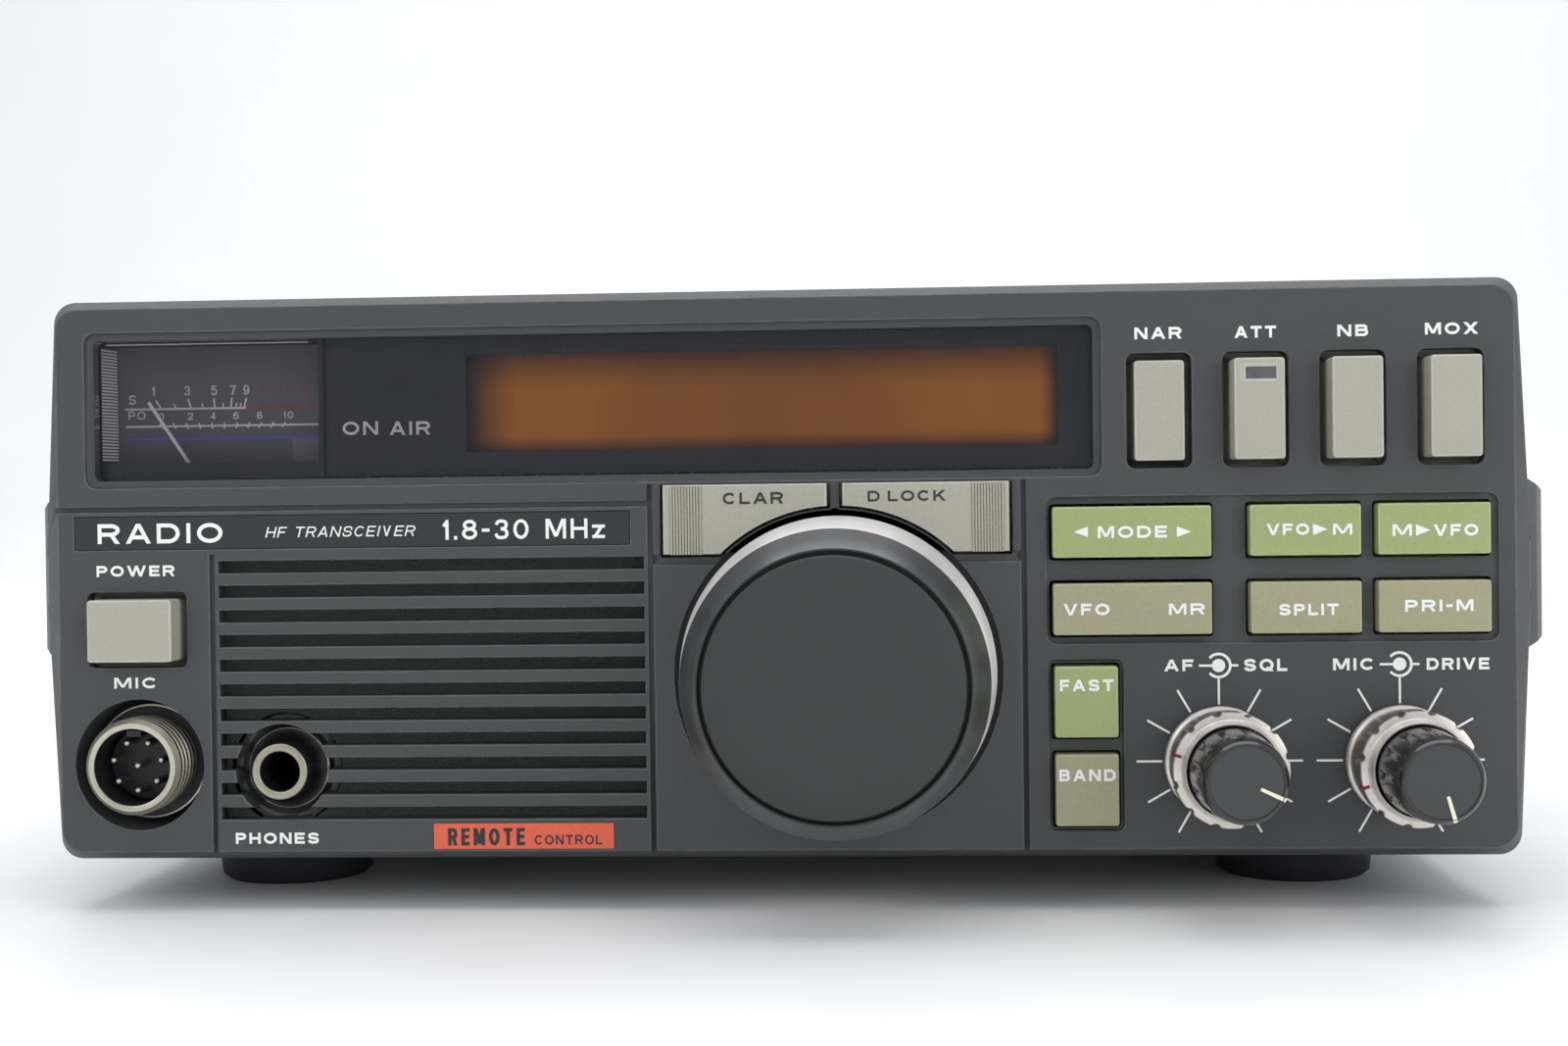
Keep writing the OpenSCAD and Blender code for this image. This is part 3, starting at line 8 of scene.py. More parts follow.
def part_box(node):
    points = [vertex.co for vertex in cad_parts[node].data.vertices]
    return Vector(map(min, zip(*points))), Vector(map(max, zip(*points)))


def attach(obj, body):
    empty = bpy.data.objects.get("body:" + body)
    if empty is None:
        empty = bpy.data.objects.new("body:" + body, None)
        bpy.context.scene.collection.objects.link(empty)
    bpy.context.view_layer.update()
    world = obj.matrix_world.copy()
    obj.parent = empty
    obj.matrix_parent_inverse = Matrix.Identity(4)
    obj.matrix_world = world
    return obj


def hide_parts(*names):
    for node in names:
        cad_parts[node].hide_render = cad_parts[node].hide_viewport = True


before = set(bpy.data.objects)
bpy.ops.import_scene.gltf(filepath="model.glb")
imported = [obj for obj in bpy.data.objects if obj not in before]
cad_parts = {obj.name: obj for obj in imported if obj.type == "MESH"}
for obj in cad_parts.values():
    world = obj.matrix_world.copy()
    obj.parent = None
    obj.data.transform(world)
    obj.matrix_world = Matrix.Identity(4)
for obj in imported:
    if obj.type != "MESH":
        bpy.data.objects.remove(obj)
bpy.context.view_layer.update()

# Places are given from the panel, in millimetres: x from its middle, y in from its face, z from its foot.
MM = 0.001
LABEL_FOOT = 1.4
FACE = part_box("accent_label")[1].y
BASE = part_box("accent_label")[0].z - LABEL_FOOT * MM

# Where the round controls and sockets sit on the face.
TUNE = (10.3, 29.35)
POTS = (70.8, 99.15)
POT_Z = 15.0
MIC = (-104.35, 15.3)
PHONES = (-80.75, 14.2)


def place(x, y, z):
    return Vector((x * MM, FACE + y * MM, BASE + z * MM))


# ---------------------------------------------------------------- materials

class Net:
    """A short way to write a material's node tree."""

    def __init__(self, name):
        self.mat = bpy.data.materials.new(name)
        self.mat.use_nodes = True
        self.tree = self.mat.node_tree
        self.tree.nodes.clear()
        self.coords = self.add("ShaderNodeTexCoord").outputs["Object"]

    def add(self, kind, **inputs):
        node = self.tree.nodes.new(kind)
        for key, value in inputs.items():
            if key in node.bl_rna.properties and key not in node.inputs:
                setattr(node, key, value)
            else:
                self.feed(node.inputs[key.replace("_", " ")], value)
        return node

    def feed(self, socket, value):
        if isinstance(value, bpy.types.NodeSocket):
            self.tree.links.new(value, socket)
        else:
            socket.default_value = value

    def noise(self, scale, detail=2.0, rough=0.5, stretch=None):
        vector = self.coords
        if stretch:
            mapping = self.add("ShaderNodeMapping", Vector=vector, Scale=stretch)
            vector = mapping.outputs["Vector"]
        node = self.add("ShaderNodeTexNoise", Vector=vector, Scale=scale, Detail=detail, Roughness=rough)
        return node.outputs["Fac"]

    def ramp(self, value, low, high, to_low=0.0, to_high=1.0):
        node = self.add("ShaderNodeMapRange", Value=value)
        node.inputs["From Min"].default_value = low
        node.inputs["From Max"].default_value = high
        self.feed(node.inputs["To Min"], to_low)
        self.feed(node.inputs["To Max"], to_high)
        return node.outputs["Result"]

    def vary(self, low, high, scale, detail=2.0, rough=0.5):
        """A value that wanders between low and high over the surface."""
        return self.ramp(self.noise(scale, detail, rough), 0.3, 0.7, low, high)

    def mix(self, factor, a, b, blend="MIX"):
        node = self.tree.nodes.new("ShaderNodeMix")
        node.data_type = "RGBA"
        node.blend_type = blend
        self.feed(node.inputs[0], factor)
        self.feed(node.inputs[6], a)
        self.feed(node.inputs[7], b)
        return node.outputs[2]

    def math(self, operation, a, b):
        node = self.tree.nodes.new("ShaderNodeMath")
        node.operation = operation
        self.feed(node.inputs[0], a)
        self.feed(node.inputs[1], b)
        return node.outputs[0]

    def times(self, a, b):
        return self.math("MULTIPLY", a, b)

    def split(self, vector):
        return self.add("ShaderNodeSeparateXYZ", Vector=vector).outputs

    def bump(self, height, distance):
        return self.add("ShaderNodeBump", Strength=1.0, Distance=distance, Height=height).outputs["Normal"]

    def blend(self, factor, first, second):
        node = self.add("ShaderNodeMixShader", Fac=factor)
        self.tree.links.new(first.outputs[0], node.inputs[1])
        self.tree.links.new(second.outputs[0], node.inputs[2])
        return node

    def surface(self, base, rough, normal, **more):
        shader = self.add("ShaderNodeBsdfPrincipled", Base_Color=base, Roughness=rough, Normal=normal, **more)
        return self.done(shader)

    def done(self, shader):
        out = self.add("ShaderNodeOutputMaterial")
        self.tree.links.new(shader.outputs[0], out.inputs["Surface"])
        return self.mat


def rgb(red, green, blue):
    """A colour given as it looks on a screen, 0 to 255, as the shader's linear value."""
    def linear(c):
        c /= 255
        return c / 12.92 if c <= 0.04045 else ((c + 0.055) / 1.055) ** 2.4
    return (linear(red), linear(green), linear(blue), 1.0)


def shade(colour, by):
    return (*(min(1.0, c * by) for c in colour[:3]), 1.0)


def plastic(name, colour, rough, grain, grain_size, mottle, wear_and_edge_highlight=None, gloss=0.5, metal=0.0, coat=0.0,
            dust=0.0, glow=0.0, shade_towards_foot=None):
    """A mottled, finely grained finish. Edge patches (colour, amount) are rubbed wear and painted highlight;
    painted shade (low z, high z, tone when low) darkens it towards the foot.
    """
    net = Net(name)
    fine = net.noise(grain_size, 3, 0.6)
    patch = net.noise(210, 4, 0.6)
    tone = net.times(net.vary(1 - mottle, 1 + mottle, 28, 3, 0.55), net.ramp(fine, 0.3, 0.7, 0.94, 1.06))
    base = net.mix(1.0, colour, tone, "MULTIPLY")
    if dust:
        facing = net.add("ShaderNodeNewGeometry").outputs["Normal"]
        up = net.ramp(net.split(facing)["Z"], 0.5, 1.0)
        film = net.times(net.times(up, net.ramp(patch, 0.35, 0.75)), dust)
        base = net.mix(film, base, (0.42, 0.41, 0.39, 1))
    # Rubbed wear and painted highlight: lighter patches, used on rounded edges.
    if wear_and_edge_highlight:
        rub_and_highlight = net.ramp(net.noise(380, 4, 0.7), 0.36, 0.6, 0.3, 1.0)
        base = net.mix(net.times(rub_and_highlight, wear_and_edge_highlight[1]), base, wear_and_edge_highlight[0])
    # Painted shade: darker towards the foot, from the higher height down to the lower.
    if shade_towards_foot:
        low = net.mix(1.0, base, (shade_towards_foot[2], shade_towards_foot[2], shade_towards_foot[2], 1), "MULTIPLY")
        rise = net.ramp(net.split(net.coords)["Z"], place(0, 0, shade_towards_foot[0]).z, place(0, 0, shade_towards_foot[1]).z)
        base = net.mix(rise, low, base)
    lit = {"Emission_Color": base, "Emission_Strength": glow} if glow else {}
    roughness = net.ramp(patch, 0.3, 0.7, max(0.02, rough - 0.04), min(1.0, rough + 0.04))
    return net.surface(base, roughness, net.bump(fine, grain * MM), Metallic=metal, Specular_IOR_Level=gloss,
                       Coat_Weight=coat, Coat_Roughness=0.12, **lit)


def spun_metal(name, colour, rough, axis, bands, streak, stretch):
    """Metal turned on a lathe about an axis along the depth: fine rings that draw its highlights out."""
    net = Net(name)
    shift = net.add("ShaderNodeVectorMath", operation="SUBTRACT")
    net.feed(shift.inputs[0], net.coords)
    shift.inputs[1].default_value = axis
    x, y, z = net.split(shift.outputs[0])
    radius = net.math("SQRT", net.math("ADD", net.times(x, x), net.times(z, z)), 0)
    along = net.times(net.math("ADD", radius, y), bands * 8.0)
    join = net.add("ShaderNodeCombineXYZ", X=along, Y=0.0, Z=0.0)
    rings = net.add("ShaderNodeTexNoise", Vector=join.outputs[0], Scale=1.0, Detail=3.0).outputs["Fac"]
    way = [net.math("DIVIDE", side, radius) for side in (x, z)]
    across = net.add("ShaderNodeCombineXYZ", X=way[0], Y=0.0, Z=way[1])
    streaks = net.add("ShaderNodeTexNoise", Vector=across.outputs[0], Scale=4.0, Detail=4.0).outputs["Fac"]
    tone = net.ramp(net.math("ADD", net.times(rings, 0.5), net.times(streaks, 0.5)),
                    0.35, 0.65, 1 - streak * 0.35, 1 + streak * 0.15)
    around = net.add("ShaderNodeCombineXYZ", X=net.times(z, -1.0), Y=0.0, Z=x)
    turned = net.add("ShaderNodeVectorTransform", vector_type="VECTOR", convert_from="OBJECT",
                     convert_to="WORLD")
    net.feed(turned.inputs[0], around.outputs[0])
    return net.surface(net.mix(1.0, colour, tone, "MULTIPLY"), net.vary(rough - 0.05, rough + 0.07, 160, 3),
                       net.bump(rings, 0.004 * MM), Metallic=1.0, Anisotropic=stretch,
                       Anisotropic_Rotation=0.25, Tangent=turned.outputs[0])


def smoked(name, tint):
    """A thin tinted pane: what is behind it shows through, and it reflects more at a glance."""
    net = Net(name)
    haze = net.noise(90, 4, 0.6)
    scuff = net.ramp(net.noise(900, 2, 0.5, (1, 1, 0.2)), 0.6, 0.8, 0.0, 0.006)
    through = net.add("ShaderNodeBsdfTransparent", Color=net.mix(haze, shade(tint, 0.94), shade(tint, 1.06)))
    film = net.add("ShaderNodeBsdfDiffuse", Color=(0.26, 0.28, 0.33, 1))
    roughness = net.ramp(haze, 0.3, 0.7, 0.1, 0.2)
    shine = net.add("ShaderNodeBsdfGlossy", Color=(0.9, 0.92, 1, 1), Roughness=roughness,
                    Normal=net.bump(net.noise(60), 0.01 * MM))
    fresnel = net.add("ShaderNodeFresnel", IOR=1.45)
    body = net.blend(net.math("ADD", scuff, 0.007), through, film)
    return net.done(net.blend(net.times(fresnel.outputs[0], 0.54), body, shine))


def amber(name, x, z):
    """The display behind the window: brownish amber that fades softly at its edges and most at its top, as
    painted shade, brightens towards its right as painted light, and has a faint painted glow.
    """
    net = Net(name)
    px, _, pz = net.split(net.coords)

    def across(a, b, *to):
        return net.ramp(px, place(a, 0, 0).x, place(b, 0, 0).x, *to)

    def upward(a, b, *to):
        return net.ramp(pz, place(0, 0, a).z, place(0, 0, b).z, *to)

    sides = net.times(across(x[0] - 0.6, x[0] + 7.5), across(x[1] + 0.6, x[1] - 2.4))
    ends = net.times(upward(z[0] - 0.7, z[0] + 2.2), upward(z[1] + 0.7, z[1] - 5.5, 0.16, 1.0))
    # Painted light: dimmest near the middle, brighter to the left and most to the right.
    glow = net.times(across(-30, -2, 0.88, 0.68), across(2, x[1], 1.0, 1.55))
    light = net.times(net.times(sides, ends), net.times(glow, net.vary(0.93, 1.07, 55, 3)))
    base = net.mix(light, rgb(20, 18, 20), rgb(168, 98, 14))
    lit = net.mix(light, (0, 0, 0, 1), (0.4, 0.145, 0.008, 1))
    return net.surface(base, net.vary(0.5, 0.65, 300), net.bump(net.noise(1800), 0.001 * MM),
                       Emission_Color=lit, Emission_Strength=0.36, Specular_IOR_Level=0.1)


def weave(name, colour, pitch=0.5):
    """Cloth whose threads cross at the pitch, in millimetres, painted lighter where the threads rise and
    darker in the hollows between them, as painted highlight and painted shade.
    """
    net = Net(name)
    x, _, z = net.split(net.coords)
    threads = [net.math("SINE", net.times(s, 2 * pi / (pitch * MM)), 0) for s in (x, z)]
    height = net.times(*threads)
    base = net.mix(net.ramp(height, -1, 1), shade(colour, 0.55), shade(colour, 1.3))
    return net.surface(base, net.vary(0.85, 0.95, 300), net.bump(height, 0.08 * MM))


def board(name):
    """A green circuit board with pale pads."""
    net = Net(name)
    cells = net.add("ShaderNodeTexBrick", Vector=net.coords, Scale=190.0, Color1=rgb(30, 92, 58),
                    Color2=rgb(24, 78, 50), Mortar=rgb(60, 128, 82), Mortar_Size=0.04)
    dots = net.add("ShaderNodeTexVoronoi", Vector=net.coords, Scale=420.0)
    pads = net.ramp(dots.outputs["Distance"], 0.18, 0.22, 1.0, 0.0)
    base = net.mix(net.times(pads, 0.8), cells.outputs["Color"], rgb(190, 190, 180))
    return net.surface(base, net.vary(0.32, 0.5, 200), net.bump(cells.outputs["Fac"], -0.02 * MM))


# Each finish: colour on a screen, roughness, grain depth in mm, grain size, mottle.
PLASTICS = {
    "panel_plastic": ((62, 64, 65), 0.56, 0.010, 2400, 0.045),
    # The *_edge finishes go on rounded edges: lighter than their parts, partly as painted highlight, partly
    # as rubbed wear.
    "panel_edge": ((64, 66, 68), 0.5, 0.008, 2400, 0.05),
    "cover_paint": ((64, 66, 69), 0.5, 0.02, 1500, 0.03),
    "rail_plastic": ((98, 99, 101), 0.5, 0.012, 2000, 0.05),
    "black_plastic": ((22, 22, 24), 0.5, 0.001, 1800, 0.07),
    "meter_face": ((107, 102, 103), 0.6, 0.001, 2600, 0.06),
    "meter_patch": ((122, 116, 116), 0.6, 0.001, 2600, 0.05),
    # Painted light: the meter's near-white leaves and the painted highlight over its dial.
    "meter_painted_light": ((246, 242, 238), 0.5, 0.002, 2000, 0.05),
    "needle_paint": ((250, 244, 228), 0.45, 0.002, 3000, 0.03),
    "pointer_paint": ((235, 230, 205), 0.5, 0.003, 4000, 0.03),
    "mark_white": ((236, 236, 234), 0.5, 0.003, 4000, 0.03),
    "mark_dim": ((236, 232, 230), 0.5, 0.003, 4000, 0.04),
    "mark_red": ((150, 76, 60), 0.5, 0.003, 4000, 0.06),
    "mark_blue": ((92, 96, 180), 0.5, 0.003, 4000, 0.05),
    "mark_dark": ((40, 39, 44), 0.5, 0.003, 4000, 0.05),
    "index_red": ((120, 34, 34), 0.45, 0.003, 4000, 0.05),
    "cone_paper": ((44, 42, 40), 0.85, 0.05, 1400, 0.12),
    "knob_dark": ((50, 52, 52), 0.62, 0.022, 3600, 0.03),
    "small_knob_plastic": ((30, 31, 32), 0.19, 0.001, 1500, 0.03),
    "small_knob_face": ((57, 59, 59), 0.5, 0.002, 2600, 0.04),
    "button_plastic": ((166, 164, 150), 0.45, 0.006, 2600, 0.025),
    "button_edge": ((172, 171, 158), 0.42, 0.006, 2600, 0.03),
    "button_shadow": ((132, 130, 116), 0.6, 0.006, 2600, 0.05),
    "green_key_plastic": ((154, 164, 110), 0.45, 0.006, 2600, 0.025),
    "green_edge": ((158, 168, 116), 0.42, 0.006, 2600, 0.03),
    "olive_key_plastic": ((158, 154, 124), 0.45, 0.006, 2600, 0.025),
    "olive_edge": ((156, 153, 124), 0.42, 0.006, 2600, 0.03),
    "label_film": ((222, 96, 66), 0.42, 0.004, 1800, 0.05),
    "strip_film": ((34, 36, 38), 0.4, 0.004, 2400, 0.04),
    "foot_rubber": ((26, 27, 31), 0.7, 0.03, 1200, 0.1),
    "fin_paint": ((34, 35, 37), 0.55, 0.03, 1300, 0.08),
    "ptfe": ((232, 228, 214), 0.5, 0.006, 1300, 0.04),
}
METALS = {
    "zinc_steel": ((176, 174, 168), 0.38, 0.01, 700, 0.08),
    "nickel": ((188, 186, 171), 0.34, 0.006, 900, 0.06),
    "nickel_dull": ((160, 158, 141), 0.36, 0.006, 900, 0.08),
    # The next, darker nickel goes on the socket's thread grooves as painted shade.
    "nickel_groove_shade": ((136, 134, 122), 0.42, 0.006, 900, 0.1),
    "screw_black": ((46, 46, 48), 0.4, 0.006, 900, 0.06),
}
# What only some finishes have.
MORE = {
    "cover_paint": {"dust": 0.05}, "fin_paint": {"dust": 0.2}, "zinc_steel": {"dust": 0.1},
    # The meter face darkens towards its foot as painted shade; the meter's near-white leaves glow faintly as
    # painted light.
    "meter_face": {"shade_towards_foot": (65.0, 71.5, 0.66)}, "meter_painted_light": {"glow": 0.1},
    "knob_dark": {"gloss": 0.4}, "small_knob_plastic": {"gloss": 0.6, "coat": 0.2},
    # The edge finishes' lighter patches: rubbed wear and painted highlight.
    "panel_edge": {"wear_and_edge_highlight": (rgb(98, 99, 102), 0.6)}, "button_edge": {"wear_and_edge_highlight": (rgb(200, 199, 188), 0.6)},
    "green_edge": {"wear_and_edge_highlight": (rgb(186, 196, 146), 0.6)}, "olive_edge": {"wear_and_edge_highlight": (rgb(184, 181, 154), 0.6)},
}
MAT = {
    "smoked_window": smoked("smoked_window", (0.82, 0.815, 0.85, 1)),
    "lcd_glass": amber("lcd_glass", (-50.3, 46.0), (66.2, 81.7)),
    "circuit_board": board("circuit_board"),
    "grille_fabric": weave("grille_fabric", rgb(74, 76, 74)),
}
for finishes, metal in ((PLASTICS, 0.0), (METALS, 1.0)):
    for name, (colour, *look) in finishes.items():
        MAT[name] = plastic(name, rgb(*colour), *look, metal=metal, **MORE.get(name, {}))
# Each turned metal: colour, roughness, axis, rings, depth of its streaks, stretch of its highlights.
# The ring_side finishes are darker copies of the ring metal, for the rims' outer sides: painted shade.
for name, colour, rough, axis, *look in (
        ("knob_metal", (226, 224, 222), 0.5, TUNE, 900, 0.35, 0.85),
        ("knob_rim", (104, 106, 107), 0.42, TUNE, 700, 0.5, 0.6),
        ("ring_metal_0", (226, 221, 215), 0.42, (POTS[0], POT_Z), 1200, 0.35, 0.7),
        ("ring_side_0", (168, 162, 156), 0.34, (POTS[0], POT_Z), 1200, 0.35, 0.5),
        ("ring_metal_1", (226, 221, 215), 0.42, (POTS[1], POT_Z), 1200, 0.35, 0.7),
        ("ring_side_1", (168, 162, 156), 0.34, (POTS[1], POT_Z), 1200, 0.35, 0.5)):
    MAT[name] = spun_metal(name, rgb(*colour), rough, place(axis[0], 0, axis[1]), *look)


# ---------------------------------------------------------------- shapes

def add_piece(name, mesh, body, mats, replaced=()):
    """Puts a mesh in the scene on its body, in place of the CAD nodes that it replaces."""
    obj = bpy.data.objects.new(name, mesh)
    bpy.context.scene.collection.objects.link(obj)
    for m in mats:
        mesh.materials.append(MAT[m])
    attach(obj, body)
    if replaced:
        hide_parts(*replaced)
    return obj


def smooth(mesh, angle=35):
    mesh.shade_smooth()
    mesh.set_sharp_from_angle(angle=radians(angle))


def oval(cu, cv, ru, rv, start=0, end=360, n=20):
    """Points on an oval, or on the part of it between two angles in degrees."""
    whole = end - start >= 360
    angles = [radians(start + (end - start) * k / n) for k in range(n if whole else n + 1)]
    return [(cu + ru * cos(a), cv + rv * sin(a)) for a in angles]


def curve(points, steps=5):
    """A smooth line through the points."""
    pts = [points[0]] + list(points) + [points[-1]]
    out = []
    for a, b, c, d in zip(pts, pts[1:], pts[2:], pts[3:]):
        for k in range(steps):
            t = k / steps
            out.append(tuple(0.5 * (2 * q + (r - p) * t + (2 * p - 5 * q + 4 * r - s) * t * t
                                    + (3 * q - p - 3 * r + s) * t ** 3) for p, q, r, s in zip(a, b, c, d)))
    return out + [tuple(points[-1])]


# Each letter: its width against its height and its strokes, in a box from (0, 0) to (1, 1).
UPRIGHT = ("line", [(0, 0), (0, 1)])
RIGHT = ("line", [(1, 0), (1, 1)])
BOWL = oval(0.62, 0.73, 0.38, 0.27, 90, -90, 10)
SIX = [(0.93, 0.80), (0.80, 0.96), (0.5, 1.0), (0.16, 0.88), (0.02, 0.5), (0.04, 0.25), (0.18, 0.05),
       (0.5, 0), (0.84, 0.07), (0.97, 0.3), (0.86, 0.54), (0.5, 0.62), (0.2, 0.55), (0.05, 0.36)]
GLYPHS = {
    " ": (0.42, []),
    "_": (0.12, []),
    "-": (0.42, [("line", [(0, 0.46), (1, 0.46)])]),
    ".": (0.2, [("line", [(0.5, 0), (0.5, 0.03)])]),
    "A": (1.02, [("slant", ((0, 0), (0.5, 1))), ("slant", ((1, 0), (0.5, 1))),
                 ("line", [(0.24, 0.27), (0.76, 0.27)])]),
    "B": (0.88, [UPRIGHT, ("line", [(0, 1)] + oval(0.64, 0.77, 0.3, 0.23, 90, -90, 10) + [(0, 0.54)]),
                 ("line", [(0, 0)] + oval(0.66, 0.27, 0.34, 0.27, -90, 90, 10) + [(0, 0.54)])]),
    "C": (0.98, [("line", oval(0.5, 0.5, 0.5, 0.5, 40, 320, 24))]),
    "D": (0.95, [("loop", [(0, 0)] + oval(0.52, 0.5, 0.48, 0.5, -90, 90, 14) + [(0, 1)])]),
    "E": (0.82, [("line", [(1, 1), (0, 1), (0, 0), (1, 0)]), ("line", [(0, 0.51), (0.9, 0.51)])]),
    "F": (0.78, [("line", [(1, 1), (0, 1), (0, 0)]), ("line", [(0, 0.49), (0.86, 0.49)])]),
    "H": (0.92, [UPRIGHT, RIGHT, ("line", [(0, 0.5), (1, 0.5)])]),
    "I": (0.2, [("line", [(0.5, 0), (0.5, 1)])]),
    "K": (0.95, [UPRIGHT, ("slant", ((0.12, 0.36), (0.92, 1))), ("slant", ((0.98, 0), (0.36, 0.62)))]),
    "L": (0.76, [("line", [(0, 1), (0, 0), (1, 0)])]),
    "M": (1.12, [UPRIGHT, RIGHT, ("slant", ((0.5, 0.1), (0.06, 1))), ("slant", ((0.5, 0.1), (0.94, 1)))]),
    "N": (0.95, [UPRIGHT, RIGHT, ("slant", ((0.98, 0), (0.02, 1)))]),
    "O": (1.05, [("loop", oval(0.5, 0.5, 0.5, 0.5, 0, 360, 28))]),
    "P": (0.85, [UPRIGHT, ("line", [(0, 1)] + BOWL + [(0, 0.46)])]),
    "Q": (1.05, [("loop", oval(0.5, 0.5, 0.5, 0.5, 0, 360, 28)), ("slant", ((0.98, 0), (0.62, 0.36)))]),
    "R": (0.92, [UPRIGHT, ("line", [(0, 1)] + BOWL + [(0, 0.46)]), ("slant", ((0.98, 0), (0.62, 0.48)))]),
    "S": (0.9, [("curve", [(0.96, 0.74), (0.88, 0.93), (0.5, 1.0), (0.12, 0.93), (0.03, 0.75), (0.14, 0.57),
                           (0.5, 0.5), (0.87, 0.43), (0.98, 0.25), (0.88, 0.07), (0.5, 0), (0.1, 0.07),
                           (0.02, 0.27)])]),
    "T": (0.88, [("line", [(0, 1), (1, 1)]), ("line", [(0.5, 0), (0.5, 1)])]),
    "V": (1.0, [("slant", ((0.5, 0), (0, 1))), ("slant", ((0.5, 0), (1, 1)))]),
    "W": (1.5, [("slant", ((0.26, 0), (0, 1))), ("slant", ((0.26, 0), (0.5, 1))),
                ("slant", ((0.74, 0), (0.5, 1))), ("slant", ((0.74, 0), (1, 1)))]),
    "X": (1.0, [("slant", ((0, 0), (1, 1))), ("slant", ((1, 0), (0, 1)))]),
    "z": (0.7, [("line", [(0, 0), (1, 0)]), ("line", [(0, 0.62), (1, 0.62)]),
                ("slant", ((0.1, 0.05), (0.9, 0.66)))]),
    "0": (0.84, [("loop", oval(0.5, 0.5, 0.5, 0.5, 0, 360, 24))]),
    "1": (0.4, [("line", [(0.9, 0), (0.9, 1)]), ("line", [(0, 0.72), (0.9, 0.98)])]),
    "2": (0.8, [("curve", [(0.03, 0.72), (0.13, 0.93), (0.5, 1), (0.88, 0.92), (0.95, 0.7), (0.8, 0.48),
                           (0.4, 0.25), (0.06, 0.0)]),
                ("line", [(0, 0), (1, 0)])]),
    "3": (0.8, [("curve", [(0.05, 0.78), (0.2, 0.95), (0.5, 1), (0.85, 0.93), (0.92, 0.75), (0.8, 0.58),
                           (0.45, 0.53)]),
                ("curve", [(0.45, 0.53), (0.85, 0.46), (0.98, 0.26), (0.87, 0.06), (0.5, 0), (0.15, 0.05),
                           (0.02, 0.24)])]),
    "4": (0.84, [("line", [(0.72, 0), (0.72, 1)]), ("line", [(0, 0.25), (1, 0.25)]),
                 ("slant", ((0.05, 0.22), (0.66, 1)))]),
    "5": (0.8, [("line", [(0.92, 1), (0.15, 1), (0.07, 0.52)]),
                ("curve", [(0.07, 0.52), (0.3, 0.62), (0.6, 0.64), (0.92, 0.52), (0.98, 0.32), (0.88, 0.08),
                           (0.5, 0), (0.15, 0.05), (0.02, 0.22)])]),
    "6": (0.82, [("curve", SIX)]),
    "7": (0.78, [("line", [(0, 1), (1, 1)]), ("slant", ((0.35, 0), (0.96, 0.96)))]),
    "8": (0.84, [("loop", oval(0.5, 0.77, 0.42, 0.23)), ("loop", oval(0.5, 0.27, 0.5, 0.27))]),
    "9": (0.82, [("curve", [(1 - u, 1 - v) for u, v in SIX])]),
}


